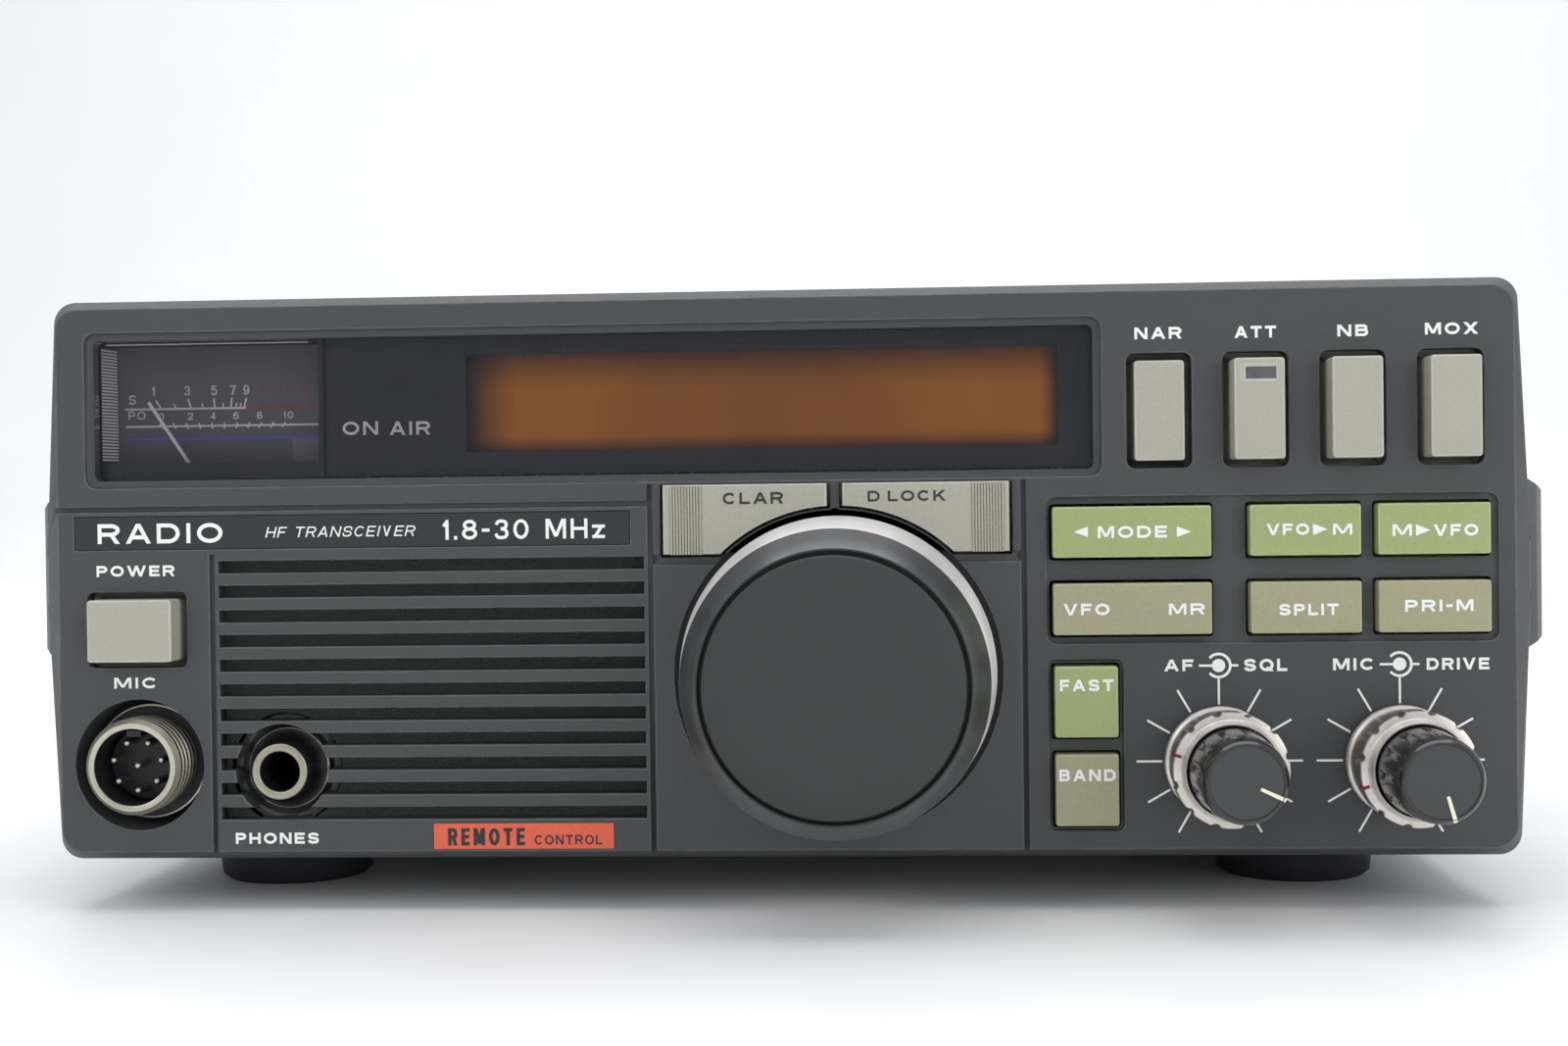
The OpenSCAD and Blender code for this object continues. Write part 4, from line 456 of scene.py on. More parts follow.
class Shape:
    """Closed solids collected into one mesh. Faces carry a material index."""

    def __init__(self):
        self.bm = bmesh.new()

    def prism(self, outline, y, mat=0):
        """A flat outline of (x, z), anticlockwise as the operator sees it, from depth y[0] to y[1]."""
        bm = self.bm
        front = [bm.verts.new(place(px, y[0], pz)) for px, pz in outline]
        back = [bm.verts.new(place(px, y[1], pz)) for px, pz in outline]
        n = len(outline)
        faces = [bm.faces.new(front), bm.faces.new(back[::-1])]
        for k in range(n):
            faces.append(bm.faces.new((front[(k + 1) % n], front[k], back[k], back[(k + 1) % n])))
        for f in faces:
            f.material_index = mat

    def upright(self, plan, z, mat=0):
        """A closed plan of (x, y) carried up from z[0] to z[1]."""
        bm = self.bm
        low, high = ([bm.verts.new(place(px, py, level)) for px, py in plan] for level in z)
        n = len(plan)
        faces = [bm.faces.new(low), bm.faces.new(high[::-1])]
        faces += [bm.faces.new((low[k], low[(k + 1) % n], high[(k + 1) % n], high[k])) for k in range(n)]
        for f in faces:
            f.material_index = mat

    def bar(self, a, b, width, y, mat=0):
        a, b = Vector(a), Vector(b)
        d = (b - a).normalized() * width / 2
        s = Vector((-d.y, d.x))
        self.prism([tuple(p) for p in (a - s, b - s, b + s, a + s)], y, mat)

    def box(self, x, y, z, mat=0):
        self.prism([(x[0], z[0]), (x[1], z[0]), (x[1], z[1]), (x[0], z[1])], y, mat)

    def disc(self, at, r, y, mat=0, n=32):
        angles = [2 * pi * k / n for k in range(n)]
        self.prism([(at[0] + r * cos(a), at[1] + r * sin(a)) for a in angles], y, mat)

    def ring(self, at, r, width, y, start=0.0, sweep=360.0, mat=0, n=40):
        """Part of a flat ring, as a closed strip."""
        whole = sweep >= 360
        steps = n if whole else n + 1
        bm = self.bm
        near, far = r - width / 2, r + width / 2
        rows = []
        for k in range(steps):
            a = radians(start + sweep * k / n)
            rows.append([bm.verts.new(place(at[0] + q * cos(a), d, at[1] + q * sin(a)))
                         for q, d in ((near, y[0]), (far, y[0]), (far, y[1]), (near, y[1]))])
        for k in range(n):
            p, q = rows[k], rows[(k + 1) % steps]
            for e in range(4):
                f = bm.faces.new((p[e], p[(e + 1) % 4], q[(e + 1) % 4], q[e]))
                f.material_index = mat
        if not whole:
            bm.faces.new(rows[0][::-1])
            bm.faces.new(rows[-1])

    def lathe(self, at, profile, n=96, reach=None, turn=0.0):
        """A closed profile of (radius, depth, material) turned about an axis along the depth.
        reach(angle, radius, depth) may give each point another radius."""
        bm = self.bm
        rings = []
        for r, d, _ in profile:
            if r < 1e-6:
                rings.append([bm.verts.new(place(at[0], d, at[1]))])
                continue
            row = []
            for k in range(n):
                a = 2 * pi * k / n + turn
                q = reach(a, r, d) if reach else r
                row.append(bm.verts.new(place(at[0] + q * cos(a), d, at[1] + q * sin(a))))
            rings.append(row)
        for i in range(len(profile)):
            j = (i + 1) % len(profile)
            p, q = rings[i], rings[j]
            if len(p) == 1 and len(q) == 1:
                continue
            for k in range(n):
                loop = [p[k % len(p)], p[(k + 1) % len(p)], q[(k + 1) % len(q)], q[k % len(q)]]
                clean = []
                for v in loop:
                    if v not in clean:
                        clean.append(v)
                f = bm.faces.new(clean)
                f.material_index = profile[i][2]

    def stroke(self, path, half, y, closed=False, mat=0):
        """A line of constant width through points already in millimetres."""
        points = [Vector(p) for p in path]
        n = len(points)
        inner, outer = [], []
        for k, p in enumerate(points):
            before = points[(k - 1) % n] if closed or k else None
            after = points[(k + 1) % n] if closed or k < n - 1 else None
            a = (p - before).normalized() if before is not None else (after - p).normalized()
            b = (after - p).normalized() if after is not None else a
            if before is None:
                a = b
            m = Vector((-(a.y + b.y), a.x + b.x))
            m = m.normalized() if m.length > 1e-6 else Vector((-a.y, a.x))
            m *= half / max(0.45, abs(m.dot(Vector((-b.y, b.x)))))
            outer.append(p + m)
            inner.append(p - m)
        bm = self.bm
        rows = [[bm.verts.new(place(q.x, d, q.y)) for q, d in ((i, y[0]), (o, y[0]), (o, y[1]), (i, y[1]))]
                for i, o in zip(inner, outer)]
        for k in range(n if closed else n - 1):
            p, q = rows[k], rows[(k + 1) % n]
            for e in range(4):
                bm.faces.new((p[e], p[(e + 1) % 4], q[(e + 1) % 4], q[e])).material_index = mat
        if not closed:
            bm.faces.new(rows[0][::-1]).material_index = mat
            bm.faces.new(rows[-1]).material_index = mat

    def text(self, words, x, z, y, thick=0.05, weight=0.235, lean=0.0, mat=0, gap=0.26):
        """Wide plain letters of one stroke width that fill the box x by z on the plane at depth y."""
        tall = z[1] - z[0]
        half = weight * tall / 2
        units = sum(GLYPHS[c][0] for c in words) + gap * (len(words) - 1)
        unit = (x[1] - x[0]) / units
        at = x[0]
        for c in words:
            wide, parts = GLYPHS[c]
            wide *= unit
            lo, span = at + min(half, wide / 2), max(0.0, wide - 2 * half)

            def spot(u, v):
                px, pz = lo + u * span, z[0] + half + v * (tall - 2 * half)
                return (px + lean * (pz - z[0]), pz)
            for count, (kind, data) in enumerate(parts):
                depth = (y - thick - 0.004 * count, y + 0.02)
                if kind == "slant":
                    (ax, _), (bx, _) = (spot(u, v) for u, v in data)
                    az, bz = (z[0] + v * tall for _, v in data)
                    h = half * math.hypot(bx - ax, bz - az) / max(1e-6, abs(bz - az))
                    over = half * 0.9 * 0.2
                    if wide > 2 * h:
                        ax, bx = (min(max(px, at + h - over), at + wide - h + over) for px in (ax, bx))
                    quad = [(ax - h, az), (ax + h, az), (bx + h, bz), (bx - h, bz)]
                    self.prism(quad if az < bz else [quad[3], quad[2], quad[1], quad[0]], depth, mat)
                    continue
                closed = kind == "loop"
                points = [spot(u, v) for u, v in (data if kind == "line" or closed else curve(data))]
                if not closed:
                    for end, nxt in ((0, 1), (-1, -2)):
                        d = Vector(points[end]) - Vector(points[nxt])
                        if min(abs(d.x), abs(d.y)) < 1e-6 + abs(lean) * abs(d.y) * 1.01:
                            points[end] = tuple(Vector(points[end]) + d.normalized() * half)
                self.stroke(points, half, depth, closed, mat)
            at += wide + gap * unit

    def piece(self, name, slot, body, mats, replaced=(), angle=35):
        bm = self.bm
        bmesh.ops.recalc_face_normals(bm, faces=bm.faces)
        mesh = bpy.data.meshes.new(name)
        bm.to_mesh(mesh)
        bm.free()
        smooth(mesh, angle)
        return add_piece(name, mesh, body, mats, replaced)


SAME_SPOT = 2e-6
SAME_PLANE = radians(0.6)
LEVEL_WITHIN = 0.02 * MM


def bevel_edges(bm, width, pick, segments, finish):
    """Rounds the sharp outer edges that pick chooses; the new faces take the material of index finish."""
    chosen = [e for e in bm.edges if len(e.link_faces) == 2 and e.calc_face_angle(0) > radians(35)
              and e.is_convex and pick(e)]
    if chosen:
        bmesh.ops.bevel(bm, geom=chosen, offset=width * MM, segments=segments, profile=0.5, affect="EDGES",
                        clamp_overlap=False, loop_slide=True, material=finish)


def even_shading(obj):
    """Lets the large faces decide the shading, so that rounded edges don't tint them."""
    even = obj.modifiers.new("even", "WEIGHTED_NORMAL")
    even.keep_sharp = True
    even.weight = 100


def softened(node, name, body, mats, rounds):
    """A CAD node's own shape with its visible edges rounded; rounds is a list of (width, pick, segments)."""
    bm = bmesh.new()
    bm.from_mesh(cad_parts[node].data)
    bmesh.ops.remove_doubles(bm, verts=bm.verts, dist=SAME_SPOT)
    bmesh.ops.dissolve_limit(bm, angle_limit=SAME_PLANE, verts=bm.verts, edges=bm.edges)
    for width, pick, segments in rounds:
        bevel_edges(bm, width, pick, segments, len(mats) - 1)
    bmesh.ops.triangulate(bm, faces=[f for f in bm.faces if len(f.verts) > 4])
    mesh = bpy.data.meshes.new(name)
    bm.to_mesh(mesh)
    bm.free()
    smooth(mesh, 38)
    obj = add_piece(name, mesh, body, mats, (node,))
    even_shading(obj)
    return obj


def on_depth(y):
    """Picks edges that lie in the plane at that depth."""
    level = place(0, y, 0).y
    return lambda e: all(abs(v.co.y - level) < LEVEL_WITHIN for v in e.verts)


def dress(node, mat, bevel=0.0):
    """A CAD node shown as it is, in its finish, with its edges broken by a modifier."""
    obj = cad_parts[node]
    obj.data.materials.clear()
    obj.data.materials.append(MAT[mat])
    for p in obj.data.polygons:
        p.material_index = 0
    if bevel:
        weld = obj.modifiers.new("weld", "WELD")
        weld.merge_threshold = SAME_SPOT
        flat = obj.modifiers.new("flat", "DECIMATE")
        flat.decimate_type = "DISSOLVE"
        flat.angle_limit = SAME_PLANE
        cut = obj.modifiers.new("edges", "BEVEL")
        cut.width = bevel * MM
        cut.segments = 2
        cut.limit_method = "ANGLE"
        cut.angle_limit = radians(50)
        even_shading(obj)


# ---------------------------------------------------------------- front panel

def clear(e):
    """Leaves out the thin strips round the wide buttons."""
    strip = [place(0, 0, q).z for q in (59.9, 60.9)]
    ends = [place(q, 0, 0).x for q in (-21.2, 41.4)]
    return not all(strip[0] < v.co.z < strip[1] and ends[0] < v.co.x < ends[1] for v in e.verts)


# The rounded edges take panel_edge, lighter as painted highlight and rubbed wear.
softened("front_panel", "front_panel_moulding", "case", ["panel_plastic", "panel_edge"], [
    (0.24, lambda e: on_depth(0)(e) and clear(e), 3), (0.5, on_depth(4), 2), (0.12, on_depth(0.6), 2),
    (0.2, on_depth(14), 2)])

TICK_ENDS = (9.0, 13.1)
legends = Shape()
for words, x, z in (
        ("NAR", (58.07, 65.5), (82.23, 84.09)), ("ATT", (73.85, 80.35), (82.17, 84.03)),
        ("NB", (89.94, 94.74), (82.13, 83.99)), ("MOX", (103.58, 111.8), (82.2, 84.06)),
        ("POWER", (-111.03, -98.04), (46.18, 47.95)), ("MIC", (-108.36, -101.2), (27.85, 29.62)),
        ("PHONES", (-88.5, -74.71), (2.3, 4.1)), ("AF", (62.25, 66.84), (29.34, 31.2)),
        ("SQL", (74.81, 81.58), (29.24, 31.2)), ("MIC", (88.76, 95.27), (29.29, 31.19)),
        ("DRIVE", (103.37, 113.11), (29.26, 31.13))):
    legends.text(words, x, z, y=0.0)
for px in POTS:
    icon = (px, 30.2)
    flat = (-0.05, 0.02)
    legends.disc(icon, 1.05, (-0.054, 0.02))
    legends.ring(icon, 1.84, 0.42, (-0.058, 0.02), -140, 280)
    legends.bar((px - 3.1, 30.2), (px - 0.9, 30.2), 0.36, flat)
    legends.bar((px + 1.8, 30.2), (px + 3.1, 30.2), 0.36, flat)
    for k in range(11):
        a = radians(240 - 30 * k)
        near, far = ((px + r * cos(a), POT_Z + r * sin(a)) for r in TICK_ENDS)
        legends.bar(near, far, 0.34, flat)
legends.piece("panel_legends", "needle_paint", "case", ["mark_white"])

STRIP_FACE = 0.1
strip = Shape()
strip.text("RADIO", (-110.8, -90.0), (51.55, 54.8), STRIP_FACE, weight=0.2)
strip.text("HF TRANSCEIVER", (-82.9, -58.4), (52.3, 54.0), STRIP_FACE, weight=0.13, lean=0.25)
strip.text("1.8-30 MHz", (-53.78, -27.13), (51.6, 54.8), STRIP_FACE, weight=0.16)
strip.piece("name_strip_lettering", "needle_paint", "case", ["mark_white"])

LABEL_FACE = -0.15
label = Shape()
label.text("REMOTE", (-53.4, -40.8), (1.95, 4.75), LABEL_FACE, weight=0.2, gap=0.4)
label.text("CONTROL", (-39.2, -28.2), (2.05, 3.6), LABEL_FACE, weight=0.17)
label.piece("accent_label_lettering", "black_plastic", "case", ["mark_dark"])

dress("accent_label", "label_film")
dress("name_strip", "strip_film")
dress("grille_cloth", "grille_fabric")
dress("speaker_frame", "zinc_steel")
dress("speaker_cone", "cone_paper")

# ---------------------------------------------------------------- display

dress("display_window", "smoked_window")
dress("window_mask", "black_plastic")
dress("meter_case", "black_plastic")

# The meter's lit left wall of fine leaves, near-white with a faint glow as painted light; the bright line
# over the dial, a painted highlight; and the paler patch at its foot.
LEAF = [(-111.44, 4.46), (-110.69, 9.34), (-110.8, 9.34), (-111.55, 4.46)]
LEAF_PITCH = 0.52
lit_leaves = Shape()
lit_leaves.upright([(-111.5, 4.5), (-110.75, 9.38), (-110.9, 9.38), (-111.65, 4.5)], (65.2, 84.1), 1)
for k in range(36):
    lit_leaves.upright(LEAF, (65.3 + LEAF_PITCH * k, 65.56 + LEAF_PITCH * k))
lit_leaves.box((-110.6, -76.7), (4.3, 4.9), (84.36, 84.52))
lit_leaves.box((-81.0, -76.6), (9.57, 9.62), (65.0, 68.7), 2)
lit_leaves.piece("meter_side_light", "meter_face", "case", ["meter_painted_light", "meter_face", "meter_patch"])
dress("meter_scale", "meter_face")
dress("meter_needle", "needle_paint")
dress("lcd_panel", "lcd_glass")
dress("display_board", "circuit_board")

PIVOT = Vector((-93.2, 57.7))
DIAL_FACE = 9.6
PRINT = (DIAL_FACE - 0.04, DIAL_FACE + 0.03)


def fan(shape, x, z, up, down, width, mat):
    """A tick that leans away from the needle's pivot."""
    p = Vector((x, z))
    d = (p - PIVOT).normalized()
    shape.bar(p - d * down, p + d * up, width, (PRINT[0] - 0.005, PRINT[1]), mat)


dial = Shape()
S_Z, PO_Z = 73.98, 71.06
LINE_HALF = 0.17
dial.box((-109.5, -88.9), PRINT, (S_Z - LINE_HALF, S_Z + LINE_HALF), 0)
dial.box((-88.9, -76.6), PRINT, (S_Z - LINE_HALF, S_Z + LINE_HALF), 1)
dial.box((-109.5, -76.6), PRINT, (PO_Z - LINE_HALF, PO_Z + LINE_HALF), 0)
dial.box((-109.5, -76.6), PRINT, (68.72, 69.14), 2)
for x in (-103.36, -98.25, -94.22, -91.46, -89.2):
    fan(dial, x, S_Z, 1.75, 0, 0.3, 0)
for x in (-100.8, -96.2, -92.8, -90.6, -89.9):
    fan(dial, x, S_Z, 0.9, 0, 0.24, 0)
for x in (-86.4, -83.6, -80.9, -78.4):
    fan(dial, x, S_Z, 1.5, 0, 0.3, 1)
for k in range(11):
    fan(dial, -103.3 + 2.2 * k - 0.012 * k * k, PO_Z, 0.55, 0.5, 0.26, 0)
for words, x in (("1", -104.7), ("3", -98.9), ("5", -94.3), ("7", -91.1), ("9", -88.8)):
    half = 0.3 if words == "1" else 0.55
    dial.text(words, (x - half, x + half), (76.2, 77.8), DIAL_FACE, 0.04, 0.16)
for words, x in (("10", -85.4), ("20", -82.4), ("30", -79.2)):
    dial.text(words, (x - 0.9, x + 0.9), (76.5, 77.8), DIAL_FACE, 0.04, 0.15, mat=1)
for words, x in (("0", -103.4), ("2", -98.4), ("4", -94.5), ("6", -90.6), ("8", -86.6), ("10", -81.7)):
    half = 0.85 if words == "10" else 0.48
    dial.text(words, (x - half, x + half), (72.1, 73.3), DIAL_FACE, 0.04, 0.16)
dial.text("S", (-108.9, -107.7), (74.8, 76.4), DIAL_FACE, 0.04, 0.15)
dial.text("PO", (-109.0, -106.1), (72.25, 73.65), DIAL_FACE, 0.04, 0.15)
dial.piece("meter_markings", "needle_paint", "case", ["mark_dim", "mark_red", "mark_blue"])

MASK_FACE = 5.0
on_air = Shape()
on_air.text("ON", (-71.2, -65.28), (69.0, 71.2), MASK_FACE, weight=0.2)
on_air.text("AIR", (-63.31, -56.61), (68.9, 71.1), MASK_FACE, weight=0.2)
on_air.piece("on_air_lettering", "needle_paint", "case", ["mark_dim"])

# ---------------------------------------------------------------- keys and buttons

KEYS = {
    "mode_rocker": ("mode", "green_key_plastic"), "vfo_mr_rocker": ("vfo_mr", "olive_key_plastic"),
    "vfo_to_memory_key": ("vfo_to_memory", "green_key_plastic"),
    "memory_to_vfo_key": ("memory_to_vfo", "green_key_plastic"),
    "split_key": ("split", "olive_key_plastic"), "priority_key": ("priority", "olive_key_plastic"),
    "fast_key": ("fast", "green_key_plastic"), "band_key": ("band", "olive_key_plastic"),
    "power_button": ("power", "button_plastic"), "narrow_button": ("narrow", "button_plastic"),
    "attenuator_button": ("attenuator", "button_plastic"),
    "noise_blanker_button": ("noise_blanker", "button_plastic"), "mox_button": ("mox", "button_plastic"),
    "clarifier_button": ("clarifier", "button_plastic"), "dial_lock_button": ("dial_lock", "button_plastic"),
}
# Each key's rounded front edges take its lighter edge finish: painted highlight and rubbed wear.
for node, (body, mat) in KEYS.items():
    front = (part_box(node)[0].y - FACE) / MM
    softened(node, node + "_cap", body, [mat, mat.split("_")[0] + "_edge"], [(0.28, on_depth(front), 3)])


def triangle(x, z, right):
    """The outline of an arrow head that points right or left."""
    m = (z[0] + z[1]) / 2
    return [(x[0], z[0]), (x[1], m), (x[0], z[1])] if right else [(x[1], z[0]), (x[1], z[1]), (x[0], m)]


KEY_FACE = -1.4
ARROW = (KEY_FACE - 0.05, KEY_FACE + 0.02)
LETTERING = {
    "mode": ([("MODE", (51.8, 62.69), (50.67, 52.57))],
             [((48.05, 50.24), (50.88, 52.55), False), ((64.24, 66.55), (50.72, 52.4), True)]),
    "vfo_mr": ([("VFO", (46.3, 53.55), (38.45, 40.3)), ("MR", (62.88, 68.51), (38.4, 40.2))], []),
    "vfo_to_memory": ([("VFO", (78.33, 84.96), (50.85, 52.65)), ("M", (88.66, 91.66), (50.8, 52.56))],
                      [((85.54, 87.81), (50.8, 52.6), True)]),
    "memory_to_vfo": ([("M", (97.91, 100.92), (50.5, 52.35)), ("VFO", (104.31, 111.19), (50.43, 52.28))],
                      [((101.53, 103.77), (50.5, 52.3), True)]),
    "split": ([("SPLIT", (80.15, 89.4), (38.14, 39.96))], []),
    "priority": ([("PRI-M", (99.74, 110.32), (38.57, 40.42))], []),
    "fast": ([("FAST", (45.56, 54.06), (26.39, 28.25))], []),
    "band": ([("BAND", (45.3, 54.25), (12.08, 13.95))], []),
}
for body, (words, arrows) in LETTERING.items():
    s = Shape()
    for w, x, z in words:
        s.text(w, x, z, KEY_FACE)
    for x, z, right in arrows:
        s.prism(triangle(x, z, right), ARROW)
    s.piece(body + "_lettering", "needle_paint", body, ["mark_white"])

WIDE_FACE = -1.0
for body, words, x, z in (("clarifier", "CLAR", (-7.87, 1.83), (56.79, 58.66)),
                          ("dial_lock", "D_LOCK", (15.38, 27.8), (56.95, 58.66))):
    s = Shape()
    s.text(words, x, z, WIDE_FACE, weight=0.21)
    s.piece(body + "_lettering", "black_plastic", body, ["mark_dark"])

RIBS = 11
for body, x in (("clarifier", (-16.45, -11.3)), ("dial_lock", (31.95, 37.1))):
    s = Shape()
    pitch = (x[1] - x[0]) / RIBS
    s.box(x, (-1.03, -0.98), (48.85, 59.7), 1)
    for k in range(RIBS):
        s.box((x[0] + pitch * (k + 0.2), x[0] + pitch * (k + 0.8)), (-1.2, -0.98), (48.75, 59.8))
    s.piece(body + "_grip_ribs", "button_plastic", body, ["button_plastic", "button_shadow"])

# The lens and its frame take edge finishes, with their painted highlight and rubbed wear.
lamp = Shape()
lamp.box((74.95, 79.95), (-3.35, -3.05), (75.5, 77.4))
for x, z in (((74.5, 80.4), (77.4, 77.75)), ((74.5, 80.4), (75.15, 75.5)),
             ((74.5, 74.95), (75.5, 77.4)), ((79.95, 80.4), (75.5, 77.4))):
    lamp.box(x, (-3.34, -3.05), z, 1)
lamp.piece("attenuator_lamp_lens", "smoked_window", "attenuator", ["panel_edge", "button_edge"])

# ---------------------------------------------------------------- tuning knob

knob = Shape()
side, rim, dark = 0, 1, 2
knob.lathe(TUNE, [
    (3.02, 0.8, side), (7, 0.8, side), (7, -17, side), (22.4, -17, side), (23.0, 1.2, side),
    (25.0, 1.2, side), (25.3, 1.0, side), (25.4, 0.7, side), (25.4, -1.5, side), (25.3, -2.8, side),
    (25.0, -5, side), (24.4, -11, side), (23.7, -18.6, side), (23.62, -19.2, rim), (23.4, -19.6, rim),
    (22.9, -20.7, rim), (22.1, -22.4, rim), (21.0, -24.85, rim), (20.75, -25.1, dark),
    (20.5, -25.1, dark), (20.35, -24.9, dark), (20.3, -23.5, dark), (3.02, -23.5, dark)], 192)
knob.piece("tuning_knob_body", "knob_metal", "tuning", ["knob_metal", "knob_rim", "knob_dark"],
           ("tuning_knob",), 32)

disc = Shape()
disc.lathe(TUNE, [(0, -23.6, 0), (19.7, -23.6, 0), (19.75, -25.4, 0), (19.62, -25.72, 0), (19.35, -25.9, 0),
                  (14, -25.9, 0), (7, -25.9, 0), (0, -25.9, 0)], 192)
disc.piece("tuning_knob_disc", "knob_dark", "tuning", ["knob_dark"], ("tuning_knob_cap",), 60)
dress("tuning_shaft", "zinc_steel")
dress("encoder_body", "zinc_steel")

# ---------------------------------------------------------------- small knobs

def notched(marks, centre, radius, span):
    """Cuts round notches into a turned rim: centre and radius of each notch, over a span of depths."""
    def reach(a, r, d):
        if not span[0] <= d <= span[1]:
            return r
        for m in marks:
            delta = (a - m + pi) % (2 * pi) - pi
            if abs(delta) < math.asin(radius / centre):
                edge = centre * cos(delta) - math.sqrt(max(0.0, radius ** 2 - (centre * sin(delta)) ** 2))
                return min(r, edge)
        return r
    return reach


def direction(degrees):
    """The unit vectors along an angle on the panel and square to it."""
    a = radians(degrees)
    along = Vector((cos(a), sin(a)))
    return along, Vector((-along.y, along.x))


def ring_knob(at, body, node, mark, finishes):
    """The outer ring with its eleven notches; the red index stands where a twelfth would be."""
    s = Shape()
    notches = [radians(mark + 30 * k) for k in range(1, 12)]
    s.lathe(at, [
        (2.05, -9.6, 1), (7.12, -9.6, 1), (7.12, -13.6, 0), (7.2, -13.78, 0), (7.4, -13.8, 0),
        (7.5, -13.65, 0), (7.8, -12.1, 0), (7.9, -12.0, 0), (8.6, -12.0, 0), (8.82, -11.92, 0),
        (8.93, -11.7, 0), (8.95, -11.4, 2), (8.95, -8.2, 2), (8.85, -7.9, 2), (8.4, -7.2, 2),
        (8.35, -2.75, 0), (8.75, -2.55, 0), (8.85, -2.4, 0), (8.85, -1.3, 0), (8.7, -1.1, 0), (8.4, -1, 0),
        (6, -1, 1), (6, -6.5, 1), (3.9, -6.5, 1), (3.9, -0.6, 1), (2.95, -0.6, 1), (2.95, 24, 1),
        (2.05, 24, 1)],
        288, notched(notches, 9.2, 0.78, (-12.1, -3.0)), radians(mark))
    s.piece(body + "_ring_knob", "knob_metal", body, finishes, (node,), 24)
    s = Shape()
    p, c = Vector(at), direction(mark)[0]
    s.bar(p + c * 8.0, p + c * 9.02, 0.5, (-12.06, -9.1))
    s.piece(body + "_ring_index", "label_film", body, ["index_red"])


def inner_knob(at, body, node, mark):
    """The fluted knob within a ring, its shaft and the pointer inlaid in its face."""
    s = Shape()
    flutes = [radians(mark + 15 + 30 * k) for k in range(12)]
    s.lathe(at, [
        (0, -9.8, 0), (6.8, -9.8, 0), (6.95, -10.2, 0), (6.93, -13, 0), (6.84, -15.3, 0), (6.83, -15.5, 0),
        (6.76, -17.5, 0), (6.68, -19.5, 0), (6.61, -21.4, 0), (6.6, -21.55, 0), (6.5, -23.0, 0),
        (6.42, -23.9, 0), (6.2, -24.6, 0), (5.95, -25.0, 0), (5.75, -25.18, 0), (5.6, -25.2, 0),
        (5.5, -25.18, 0), (5.42, -25.05, 1), (2.5, -25.05, 1), (0, -25.05, 1)],
        288, notched(flutes, 7.2, 0.8, (-21.5, -15.5)), radians(mark))
    s.lathe(at, [(0, -9.7, 0), (0, 27, 0), (1.85, 27, 0), (2, 26.8, 0), (2, -9.7, 0)], 48)
    s.piece(body + "_inner_knob", "small_knob_plastic", body, ["small_knob_plastic", "small_knob_face"],
            (node,), 26)
    s = Shape()
    p, (c, q) = Vector(at), direction(mark)
    for inner, thin, outer, depth in ((2.2, 0.24, 5.7, (-25.24, -24.9)), (5.6, 0.3, 6.2, (-25.06, -24.0))):
        s.prism([tuple(p + c * inner - q * thin), tuple(p + c * outer - q * 0.3),
                 tuple(p + c * outer + q * 0.3), tuple(p + c * inner + q * thin)], depth)
    s.piece(body + "_pointer", "needle_paint", body, ["pointer_paint"])


for i, (ring, ring_mark, knob, knob_mark) in enumerate((
        (("squelch", "squelch_ring"), 164, ("volume", "af_knob"), -25),
        (("drive", "drive_ring"), 198, ("mic_gain", "mic_gain_knob"), -74))):
    at = (POTS[i], POT_Z)
    # The third finish, on each rim's outer side, is a darker copy of the ring metal: painted shade.
    ring_knob(at, *ring, ring_mark, [f"ring_metal_{i}", "zinc_steel", f"ring_side_{i}"])
    inner_knob(at, *knob, knob_mark)

dress("pot_bodies", "zinc_steel")
dress("switch_bodies", "black_plastic")
dress("key_board", "circuit_board")

# ---------------------------------------------------------------- sockets on the front

s = Shape()
# The thread's grooves and its front chamfer take the darker nickel as painted shade; ridges and rim are plain
# nickel.
thread = [(6.45, -3.4, 0), (7.15, -3.4, 1)]
for k in range(5):
    y = -2.6 + 1.5 * k
    thread += [(7.85, y, 0), (7.85, y + 0.7, 1), (7.42, y + 0.95, 1), (7.42, y + 1.2, 1)]
# The flange's front face, deep in the well, takes black plastic as painted shade; the bore takes it as its
# insulating liner.
thread += [(7.85, 4.9, 0), (7.85, 5.2, 2), (9.2, 5.2, 0), (9.45, 5.24, 0), (9.6, 5.4, 0), (9.6, 7.4, 0),
           (7.85, 7.4, 0), (7.85, 12, 0), (6.25, 12, 2), (6.25, -3.15, 0), (6.3, -3.33, 0)]
s.lathe(MIC, thread, 120)
s.piece("microphone_socket_barrel", "nickel", "case", ["nickel", "nickel_groove_shade", "black_plastic"],
        ("mic_socket_shell",), 30)

s = Shape()
s.lathe(MIC, [(0, 3.4, 0), (5.9, 3.4, 0), (6.2, 3.7, 0), (6.23, 14.6, 0), (0, 14.6, 0)], 72)
s.box((MIC[0] - 1.2, MIC[0] + 1.2), (-2.4, 3.5), (MIC[1] + 4.9, MIC[1] + 5.9))
s.piece("microphone_socket_insulator", "black_plastic", "case", ["black_plastic"], ("mic_socket_insert",))

s = Shape()
pins = [MIC] + oval(*MIC, 4.1, 4.1, -90, 270, 7)
for at in pins:
    s.lathe(at, [(0, -1.3, 0), (0.3, -1.22, 0), (0.5, -1.0, 0), (0.6, -0.7, 0), (0.6, 3.5, 0),
                 (0, 3.5, 0)], 16)
s.lathe(MIC, [(0, 14.5, 0), (0.6, 14.5, 0), (0.6, 16.4, 0), (0.4, 16.6, 0), (0, 16.6, 0)], 16)
s.piece("microphone_socket_contacts", "nickel", "case", ["nickel"], ("mic_socket_pins",))

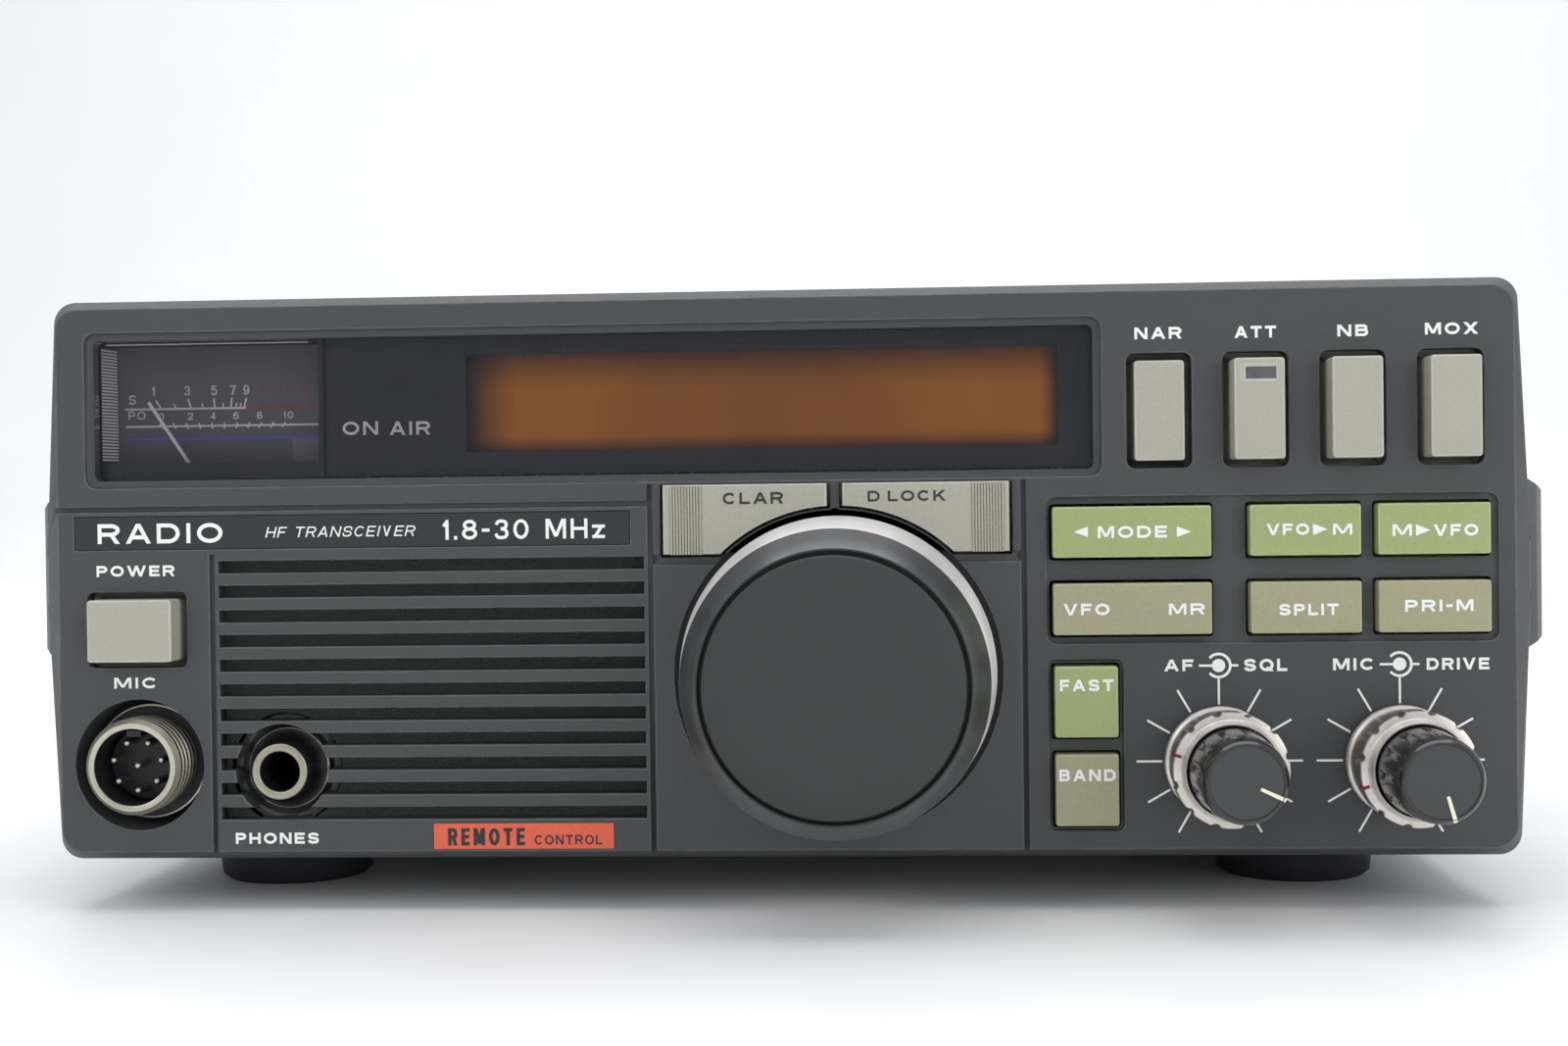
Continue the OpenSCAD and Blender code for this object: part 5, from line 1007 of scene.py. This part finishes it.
jack = softened("phones_jack", "headphone_socket", "case", ["nickel_dull"],
                [(0.35, on_depth(-1.2), 3), (0.36, on_depth(3.9), 2)])
jack.data.materials.append(MAT["black_plastic"])
WELL_FROM = place(0, 1, 0).y
for f in jack.data.polygons:
    out = (f.center - place(PHONES[0], 0, PHONES[1])) / MM
    flange = math.hypot(out.x, out.z) > 6.6 and out.y < 5.3
    f.material_index = int(f.center.y > WELL_FROM and not flange)

# ---------------------------------------------------------------- case, back and inside

dress("top_cover", "cover_paint", 0.35)
dress("bottom_cover", "cover_paint", 0.35)
dress("side_rails", "rail_plastic", 0.4)
dress("chassis", "zinc_steel")
dress("main_board", "circuit_board")
dress("shield_cans", "zinc_steel", 0.3)
dress("rear_panel", "fin_paint", 0.15)
dress("heat_sink", "fin_paint", 0.3)
dress("case_screws", "screw_black", 0.15)
dress("antenna_socket", "nickel", 0.2)
dress("antenna_insulator", "ptfe", 0.1)
dress("power_inlet", "black_plastic", 0.3)
dress("ground_post", "nickel", 0.2)
dress("ground_wing_nut", "nickel", 0.25)
dress("rear_jacks", "nickel", 0.2)
dress("accessory_sockets", "black_plastic", 0.2)
dress("feet", "foot_rubber", 0.4)

# ---------------------------------------------------------------- setting

# A paper sweep, in metres: flat under the set, curved up behind it.
BEND_AT = 1.5
BEND = 0.9
floor_mesh = bpy.data.meshes.new("floor")
bm = bmesh.new()
profile = [(-1.6, 0.0), (0.0, 0.0), (1.0, 0.0), (BEND_AT, 0.0)]
for k in range(13):
    a = radians(90 * k / 12)
    profile.append((BEND_AT + BEND * sin(a), BEND - BEND * cos(a)))
profile.append((BEND_AT + BEND, 3.2))
rows = [[bm.verts.new((x, y, z)) for x in (-3.5, -1.2, 1.2, 3.5)] for y, z in profile]
for p, q in zip(rows, rows[1:]):
    for k in range(3):
        bm.faces.new((p[k], p[k + 1], q[k + 1], q[k]))
bm.to_mesh(floor_mesh)
bm.free()
smooth(floor_mesh, 60)
floor = bpy.data.objects.new("floor", floor_mesh)
bpy.context.scene.collection.objects.link(floor)
net = Net("floor_paper")
paper = net.mix(net.vary(0.0, 1.0, 4, 3), (0.88, 0.878, 0.88, 1), (0.905, 0.902, 0.902, 1))
tooth = net.bump(net.noise(500, 3), 0.02 * MM)
floor_mesh.materials.append(net.surface(paper, net.vary(0.45, 0.6, 30), tooth))

world = bpy.data.worlds.new("room")
world.use_nodes = True
room = world.node_tree.nodes["Background"].inputs
room["Color"].default_value = (0.93, 0.96, 1.0, 1)
room["Strength"].default_value = 0.68
bpy.context.scene.world = world


def lamp_at(name, at, aim, size, power):
    data = bpy.data.lights.new(name, "AREA")
    data.shape = "RECTANGLE"
    data.size, data.size_y = size
    data.energy = power
    obj = bpy.data.objects.new(name, data)
    bpy.context.scene.collection.objects.link(obj)
    obj.location = at
    obj.rotation_euler = (Vector(aim) - Vector(at)).to_track_quat("-Z", "Y").to_euler()


ON_THE_SET = (0.0, 0.0, 0.05)
lamp_at("overhead", (0.0, 0.1, 1.5), ON_THE_SET, (1.8, 1.6), 18)
lamp_at("front_left", (-1.1, -1.3, 0.9), ON_THE_SET, (0.9, 0.9), 4.5)
lamp_at("front_right", (1.25, -1.1, 0.5), ON_THE_SET, (0.8, 0.9), 6.5)
lamp_at("backdrop", (0.0, 0.9, 1.6), (0.0, 2.0, 0.3), (2.4, 0.8), 12)

cam_data = bpy.data.cameras.new("camera")
cam_data.lens = 46.06
cam_data.sensor_width = 36.0
cam_data.clip_start = 0.01
cam_data.clip_end = 30.0
cam = bpy.data.objects.new("camera", cam_data)
bpy.context.scene.collection.objects.link(cam)
right = Vector((0.99843784, 0.05447631, -0.01241856))
up = Vector((0.01186674, 0.01044139, 0.99987507))
ahead = Vector((-0.05459917, 0.99846047, -0.00977862))
turn = Matrix((right, up, -ahead)).transposed().to_4x4()
cam.matrix_world = Matrix.Translation(place(19.49, -322.08, 56.83)) @ turn
bpy.context.scene.camera = cam
bpy.context.scene.view_settings.view_transform = "Standard"
